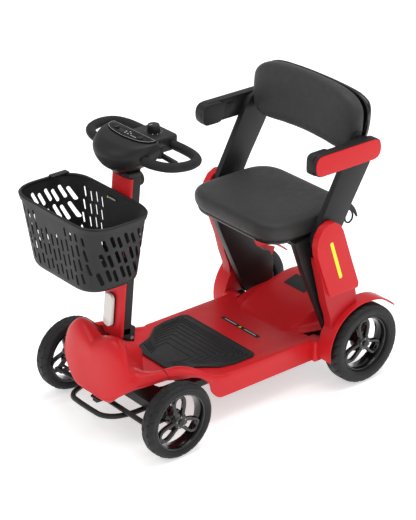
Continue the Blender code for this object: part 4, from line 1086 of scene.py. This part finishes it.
# ------------ tiller
column = in_tiller(box("column_body", (-0.0345, -0.004, 0.01), (0.0345, 0.022, 0.44), BLACK, 0.0032))
lugs, rails = [], []
for s in (1, -1):
    lug = box("lug", (s * 0.0192, -0.003, -0.012), (s * 0.0345, 0.0345, 0.03), BLACK, 0.0015)
    rail = box("rail", (s * 0.021, 0.021, 0.1), (s * 0.026, 0.0236, 0.398), BLACK, 0.0008)
    lugs.append(in_tiller(lug))
    rails.append(in_tiller(rail))
block_room = in_tiller(box("block_room", (-0.019, -0.06, -0.03), (0.019, 0.06, 0.033), BLACK))
post_room = in_tiller(box("post_room", (-0.0215, 0.0015, 0.27), (0.0215, 0.0175, 0.46), BLACK))
column = merged(column, *lugs)
show(merged(cut(column, block_room, post_room), *rails), "tiller_column")

front = mm((37, -4.6), (37, -10), (32, -15), (20, -18), (0, -19.2))
front = [(p.x, p.y) for p in spline_points([(*p, 0.0) for p in front], 4)]
cover_outline = [Vector(p) for p in front] + [Vector((-x, y)) for x, y in reversed(front[:-1])]
show(in_tiller(slab("column_skin", cover_outline, 0.008, 0.43, RED, "XY", bevel=0.001)), "column_cover")

lamp_outline = rounded(oblong(-0.0155, 0.034, 0.0155, 0.12), 0.015, 12)
LAMP_PLACE = TILLER @ Matrix.Translation((0, -0.0197, 0)) @ Matrix.Rotation(math.pi / 2, 4, "X")
lamp = slab("lamp_pill", lamp_outline, 0.0, 0.0105, LENS, "XY", bevel=0.0042, segments=6)
lamp.data.transform(LAMP_PLACE)
ring_outline = rounded(oblong(-0.0168, 0.0327, 0.0168, 0.1213), 0.0163, 12)
lamp_ring = slab("lamp_ring", ring_outline, 0.0, 0.0024, PAINTED, "XY", bevel=0.0008)
lamp_ring.data.transform(LAMP_PLACE)
show(lamp, "headlight")
show(lamp_ring, body="tiller", slot="black_plastic")

bracket = in_tiller(box("carrier_bracket", (-0.026, -0.0228, 0.202), (0.026, -0.0197, 0.34), PAINTED, 0.0008))
shelf = box("bracket_shelf", (-0.026, -0.34, 0.453), (0.026, -0.282, 0.457), PAINTED, 0.0012)
peg = rod("bracket_peg", (0, -0.32, 0.455), (0, -0.32, 0.472), 0.005, ZINC, 32, bevel=0.001)
show(merged(bracket, shelf, peg), "basket_bracket")

latch = in_tiller(box("latch_arm", (-0.01, 0.026, 0.044), (0.01, 0.029, 0.076), PAINTED, 0.001))
latch_ends = [along_tiller(0.072, -0.0268, x) for x in (-0.014, 0.014)]
latch_axis = rod("latch_axis", *latch_ends, 0.0042, BOLT, 32, bevel=0.0008)
ring_points = [along_tiller(0.034 + 0.013 * math.sin(a), -0.0275, 0.0125 * math.cos(a)) for a in angles(40)]
latch_ring = pipe("latch_ring", ring_points, 0.0028, PAINTED, 1, cyclic=True, resolution=5)
show(merged(latch, latch_axis, latch_ring), "tilt_lever")

knob_start = along_tiller(0.412, -0.0226)
knob = turned(
    "clamp_knob",
    mm((0, 0), (6, 0), (6, 5.5), (16, 7.5), (17.8, 10), (18, 20), (16.8, 23.6), (12, 25.8), (0, 26.2)),
    knob_start, -AHEAD, BLACK, 72,
)
grip_cuts = []
for a in angles(12):
    out = Vector((1, 0, 0)) * math.cos(a) + UP * math.sin(a)
    start = knob_start - AHEAD * 0.006 + out * 0.0196
    grip_cuts.append(rod("flute", start, start - AHEAD * 0.025, 0.0026, BLACK, 14))
show(cut(knob, merged(*grip_cuts)), "height_knob")

# ------------ tiller head
post = in_tiller(box("post_tube", (-0.021, 0.002, 0.29), (0.021, 0.017, 0.448), ZINC, 0.0014))
show(post, "inner_post")


def bowl_ring(half, front_y, back_y, z):
    """A ring that is straight along its back and rounded at its front."""
    found = []
    for k in range(25):
        a = math.pi * k / 24
        x = half * math.copysign(abs(math.cos(a)) ** 0.8, math.cos(a))
        depth = (back_y - front_y) * (0.14 + 0.86 * max(0.0, math.sin(a)) ** 0.9)
        found.append((x, back_y - depth, z))
    edge = ((-0.97, 0.004), (-0.9, 0.0), (-0.3, 0.0), (0.3, 0.0), (0.9, 0.0), (0.97, 0.004))
    return found + [(half * part, back_y - inset, z) for part, inset in edge]


BOWL = mm(
    (29, -272, -218, 689.5), (33, -279, -216, 698), (55, -300, -212, 712), (82, -311, -208, 733),
    (94, -310, -204, 755), (92.5, -292, -205, 773.5), (90.5, -272, -206.4, 779.5), (87.5, -264, -208, 781),
)
housing = loft("console_bowl", finer([bowl_ring(*size) for size in BOWL], 4, 1), BLACK, 0, 60.0)
bridge = box("bridge", (-0.048, -0.23, 0.727), (0.048, -0.118, 0.768), BLACK, 0.0075, 5)
ears = box("ears", (-0.069, -0.192, 0.753), (0.069, -0.172, 0.758), BLACK, 0.0015)
collar = in_tiller(box("collar", (-0.0375, -0.02, 0.432), (0.0375, 0.022, 0.446), BLACK, 0.004))
show(merged(housing, bridge, ears), "console_housing")
show(collar, body="head", slot="black_plastic")

GRIP_Z = 0.744
GRIP = mm(
    (88, -253), (108, -252), (134, -244), (155, -230), (168, -208), (172, -180), (161, -153), (131, -139),
    (95, -135), (50, -135), (0, -135),
)
grip_path = both_sides([(x, y, GRIP_Z) for x, y in GRIP])
show(pipe("grip_loop", grip_path, 0.012, FOAM, 6, resolution=7), "handlebar")

moon = spline_points(mm((83, -213, 0), (82.5, -226, 0), (72, -240, 0), (45, -251, 0), (0, -256, 0)), 5)
moon = [Vector((p.x, p.y)) for p in moon] + [Vector((-p.x, p.y)) for p in reversed(moon[:-1])]
BUTTON_X, BUTTON_Y, PANEL_Y = 0.046, -0.233, -0.2335
DOTS_LOW, DOTS_HIGH = 0.7845, 0.7849
panel_holes = [circle((x, BUTTON_Y), 0.0078, 32) for x in (BUTTON_X, -BUTTON_X)]
panel = slab("panel_glass", moon, 0.7813, 0.7846, PANEL, "XY", holes=panel_holes, bevel=0.0006)
edge_path = [(0.955 * p.x, toward(p.y, PANEL_Y, 0.925), 0.7847) for p in moon]
edge_line = pipe("panel_line", edge_path, 0.00035, INK, 1, True, 1)
marks = []
for a in angles(5):
    spot = (0.0095 * math.cos(a + 0.3), PANEL_Y + 0.0065 * math.sin(a + 0.3))
    marks.append(slab("panel_dot", circle(spot, 0.0019, 12), DOTS_LOW, DOTS_HIGH, INK, "XY"))
for k in range(4):
    x = 0.017 + 0.0055 * k
    marks.append(slab("panel_bar", oblong(x, -0.2405, x + 0.0036, -0.2385), DOTS_LOW, DOTS_HIGH, INK, "XY"))
show(merged(panel, edge_line, *marks), "console_panel")
for name, x in (("power_button", BUTTON_X), ("horn_button", -BUTTON_X)):
    profile = mm((0, 0), (7, 0), (7, 7.8), (6.2, 8.8), (3, 8.4), (0, 8.2))
    show(turned(name + "_cap", profile, (x, BUTTON_Y, 0.7785), (0, 0, 1), BLACK, 40), name)

DIAL_Y = -0.156
profile = mm((0, 0), (15, 0), (16, 4), (15, 15), (14.2, 17.8), (12, 19), (0, 18.4))
dial = turned("dial_body", profile, (0.0, DIAL_Y, 0.7684), (0, 0, 1), BLACK, 80)
dial_cuts = []
for a in angles(18):
    start = Vector((0.0168 * math.cos(a), DIAL_Y + 0.0168 * math.sin(a), 0.772))
    dial_cuts.append(rod("flute", start, start + Vector((0, 0, 0.02)), 0.0016, BLACK, 12))
dial = cut(dial, merged(*dial_cuts))
pointer = box("dial_pointer", (-0.0008, -0.169, 0.7866), (0.0008, -0.16, 0.7876), INK)
show(merged(dial, pointer), "speed_knob")
for k in range(9):
    x, y = spun(0.0205, 0.0, math.radians(225 - 33.75 * k))
    low, high = (x, DIAL_Y + y, 0.7677), (x, DIAL_Y + y, 0.7683)
    tick = rod("dial_tick_" + str(k), low, high, 0.0007 + 0.00008 * k, INK, 12)
    show(tick, body="head", slot="lamp_lens")

for side, s in (("left", 1), ("right", -1)):
    ends = [(s * 0.058, -0.182, z) for z in (0.724, 0.7525)]
    boss = rod("throttle_paddle_" + side, *ends, 0.0085, BLACK, 36, bevel=0.0012)
    ends = (s * 0.06, -0.18, 0.731), (s * 0.108, -0.172, 0.723)
    finger = rod("finger", *ends, 0.0068, BLACK, 30, bevel=0.0024)
    show(merged(boss, finger), "throttle_lever_" + side)

# ------------ basket
# Each is (half width, front y, back y, corner radius, z), at the foot and at the rim.
BASKET_LOW = (0.133, -0.451, -0.285, 0.066, 0.462)
BASKET_HIGH = (0.166, -0.469, -0.277, 0.075, 0.6425)
BASKET_Y = -0.368
SLOTS_FRONT_Y, SLOTS_BACK_Y, SLOTS_SIDE_X = -0.462, -0.279, 0.152


def basket_outline(t, extra=0.0):
    """The basket's outline at the part t of its height, wider by extra."""
    half, front_y, back_y, radius, z = (a + t * (b - a) for a, b in zip(BASKET_LOW, BASKET_HIGH))
    corners = oblong(-half - extra, front_y - extra, half + extra, back_y + extra)
    return [(p.x, p.y, z) for p in rounded(corners, radius, 12)]


def shrunk(ring, factor, drop):
    return [(factor * x, toward(y, BASKET_Y, factor), z - drop) for x, y, z in ring]


bm = bmesh.new()
levels = [
    shrunk(basket_outline(0.0), 0.93, 0.0),
    shrunk(basket_outline(0.0), 0.962, -0.0012),
    shrunk(basket_outline(0.03), 0.988, -0.0005),
]
levels += [basket_outline(t) for t in (0.075, 0.3, 0.6, 1.0)]
bm.faces.new(reversed(net(bm, levels)[0]))
bmesh.ops.recalc_face_normals(bm, faces=bm.faces)
carrier = from_bmesh("basket_weave", bm, BLACK, 60.0)
step = carrier.modifiers.new("thickness", "SOLIDIFY")
step.thickness = 0.0025
step.offset = -1.0
step.use_even_offset = True
baked(carrier, 60.0)


def capsules(name, items):
    """One mesh of slots with round ends. An item is (placing matrix, half length, half width, half depth)."""
    bm = bmesh.new()
    for matrix, half_long, half_wide, half_deep in items:
        outline = []
        for centre, first in ((half_long - half_wide, 0), (-half_long + half_wide, 180)):
            for k in range(7):
                a = math.radians(first + 30 * k)
                outline.append((half_wide * math.cos(a), centre + half_wide * math.sin(a)))
        near = [bm.verts.new(matrix @ Vector((u, -half_deep, v))) for u, v in outline]
        far = [bm.verts.new(matrix @ Vector((u, half_deep, v))) for u, v in outline]
        for k in range(len(outline)):
            n = (k + 1) % len(outline)
            bm.faces.new((near[k], near[n], far[n], far[k]))
        bm.faces.new(reversed(near))
        bm.faces.new(far)
    bmesh.ops.recalc_face_normals(bm, faces=bm.faces)
    return from_bmesh(name, bm, BLACK)


front_slots, side_slots, back_slots = [], [], []
for k in range(-6, 7):
    tilt = Matrix.Rotation(math.radians(-8), 4, "Y")
    for row, z in enumerate((0.491, 0.529, 0.567, 0.6045)):
        if (abs(k) <= 2 and row == 3) or (abs(k) == 6 and row == 0):
            continue
        half_long = (0.0145, 0.0165, 0.0165, 0.012)[row]
        spread = 0.019 * k * (1 + 0.1 * row / 3) - 0.14 * (z - 0.547)
        height = z + 0.009 * (k % 2) - (0.004 if row == 3 and k % 2 else 0.0)
        if abs(spread) < 0.127:
            spot = Matrix.Translation((spread, SLOTS_FRONT_Y, height))
            front_slots.append((spot @ tilt, half_long, 0.0036, 0.034))
for s in (1, -1):
    for k in range(-4, 4):
        tilt = Matrix.Rotation(math.pi / 2, 4, "Z") @ Matrix.Rotation(math.radians(-24), 4, "Y")
        for row, z in enumerate((0.502, 0.549, 0.596)):
            y = -0.362 + 0.02 * k + 0.43 * (z - 0.549)
            if not -0.428 < y < -0.3:
                continue
            spot = Matrix.Translation((s * SLOTS_SIDE_X, y, z + 0.006 * (k % 2)))
            side_slots.append((spot @ tilt, (0.0205, 0.0215, 0.0185)[row], 0.0047, 0.036))
for k in range(-5, 6):
    if abs(k) < 2:
        continue
    tilt = Matrix.Rotation(math.radians(-14), 4, "Y")
    for row, z in enumerate((0.498, 0.532, 0.566, 0.6)):
        if k > 0 and row == 3:
            continue
        spot = Matrix.Translation((0.0222 * k, SLOTS_BACK_Y, z + 0.006 * (k % 2)))
        back_slots.append((spot @ tilt, 0.0135, 0.0031, 0.022))
for group in (front_slots, side_slots, back_slots):
    cut(carrier, capsules("basket_slots", group), crossing=True)
lip_ring = [Vector(p) for p in basket_outline(1.0, -0.0006)]
lip = pipe("basket_lip", lip_ring, 0.004, BLACK, 1, True, 5)
APRON = ((0.935, 0.0022), (0.99, 0.003), (1.0, 0.003), (1.0, 0.0), (0.935, 0.0))
bm = bmesh.new()
net(bm, [basket_outline(t, extra) for t, extra in APRON], around=True)
bmesh.ops.recalc_face_normals(bm, faces=bm.faces)
apron = from_bmesh("basket_apron", bm, BLACK, 60.0)
grip_pad = box("basket_grip", (-0.168, -0.352, 0.6435), (-0.15, -0.3, 0.65), PAINTED, 0.002)
show(merged(carrier, lip, apron), "basket")
show(grip_pad, body="basket_body", slot="black_plastic")
note = slab("basket_label", oblong(0.01, 0.613, 0.048, 0.623), 0.0, 0.0004, LABEL, "XY")
note_bar = slab("note_bar", oblong(0.02, 0.616, 0.045, 0.6195), 0.0004, 0.0007, INK, "XY")
note_mark = slab("note_mark", mm((11.5, 615), (18.5, 615), (15, 621.2)), 0.0004, 0.0007, YELLOW, "XY")
note = merged(note, note_bar, note_mark)
note.data.transform(Matrix.Translation((-0.036, -0.2812, 0.005)) @ Matrix.Rotation(math.pi / 2, 4, "X"))
show(note, body="basket_body", slot="gloss_black")

# ------------ screws and small fittings
for side, s in (("left", 1), ("right", -1)):
    spot = (s * 0.1556, RECLINE_Y, RECLINE_Z + 0.001)
    screw_head("recline_screw_" + side, spot, (-s, 0, 0), 0.0075, "chassis")
for k, z in enumerate((0.66, 0.42)):
    spot = along_tiller(z - HEAD_Z, -0.022, 0.024)
    screw_head("column_screw_" + str(k), spot, -AHEAD, 0.0034, "tiller")

# ------------ studio
floor_mesh = bmesh.new()
bmesh.ops.create_grid(floor_mesh, x_segments=1, y_segments=1, size=40.0)
paper = Nodes("studio_floor")
shade = paper.blend(paper.spread(paper.noise(3.0), 0.0, 1.0), (0.94, 0.94, 0.94), (0.955, 0.955, 0.955))
paper.wire(shade, paper.shader.inputs["Base Color"])
paper.give(Roughness=0.6, Emission_Color=(1.0, 1.0, 1.0, 1.0), Emission_Strength=0.5, Specular_IOR_Level=0.2)
floor = from_bmesh("floor", floor_mesh, paper.material)
floor.location.z = -0.0005

world = bpy.data.worlds.new("studio")
bpy.context.scene.world = world
world.use_nodes = True
sky = world.node_tree.nodes["Background"].inputs
sky["Color"].default_value = (1.0, 1.0, 1.0, 1.0)
sky["Strength"].default_value = 0.55


def area_light(name, place_at, aim, size, power):
    light = bpy.data.lights.new(name, "AREA")
    light.shape = "RECTANGLE"
    light.size, light.size_y = size
    light.energy = power
    obj = bpy.data.objects.new(name, light)
    obj.location = place_at
    obj.rotation_euler = (Vector(aim) - Vector(place_at)).to_track_quat("-Z", "Y").to_euler()
    bpy.context.scene.collection.objects.link(obj)


area_light("key", (-0.8, -2.6, 2.7), (0, 0, 0.35), (1.6, 1.6), 20.0)
area_light("fill", (2.8, -0.9, 1.5), (0, 0, 0.35), (1.6, 1.8), 12.0)
area_light("top", (0.2, 0.4, 3.2), (0, 0, 0.3), (2.2, 2.2), 44.0)
area_light("rim", (0.9, 2.9, 1.8), (0, 0, 0.4), (1.4, 1.2), 12.0)

# ------------ camera
AIM, DISTANCE = Vector((0.0325, 0.0136, 0.3802)), 5.064
azimuth, elevation, roll = math.radians(49.757), math.radians(26.147), math.radians(0.677)
level = math.cos(elevation)
back = Vector((math.sin(azimuth) * level, -math.cos(azimuth) * level, math.sin(elevation)))
right = Vector((0, 0, 1)).cross(back).normalized()
pose = Matrix((right, back.cross(right), back)).transposed().to_4x4() @ Matrix.Rotation(roll, 4, "Z")
pose.translation = AIM + back * DISTANCE
camera = bpy.data.objects.new("camera", bpy.data.cameras.new("camera"))
camera.data.sensor_width = 36.0
camera.data.lens = 137.96
camera.data.shift_x = -0.0116
camera.data.shift_y = 0.0011
camera.data.clip_end = 100.0
camera.matrix_world = pose
bpy.context.scene.collection.objects.link(camera)
bpy.context.scene.camera = camera
bpy.context.scene.view_settings.view_transform = "Standard"
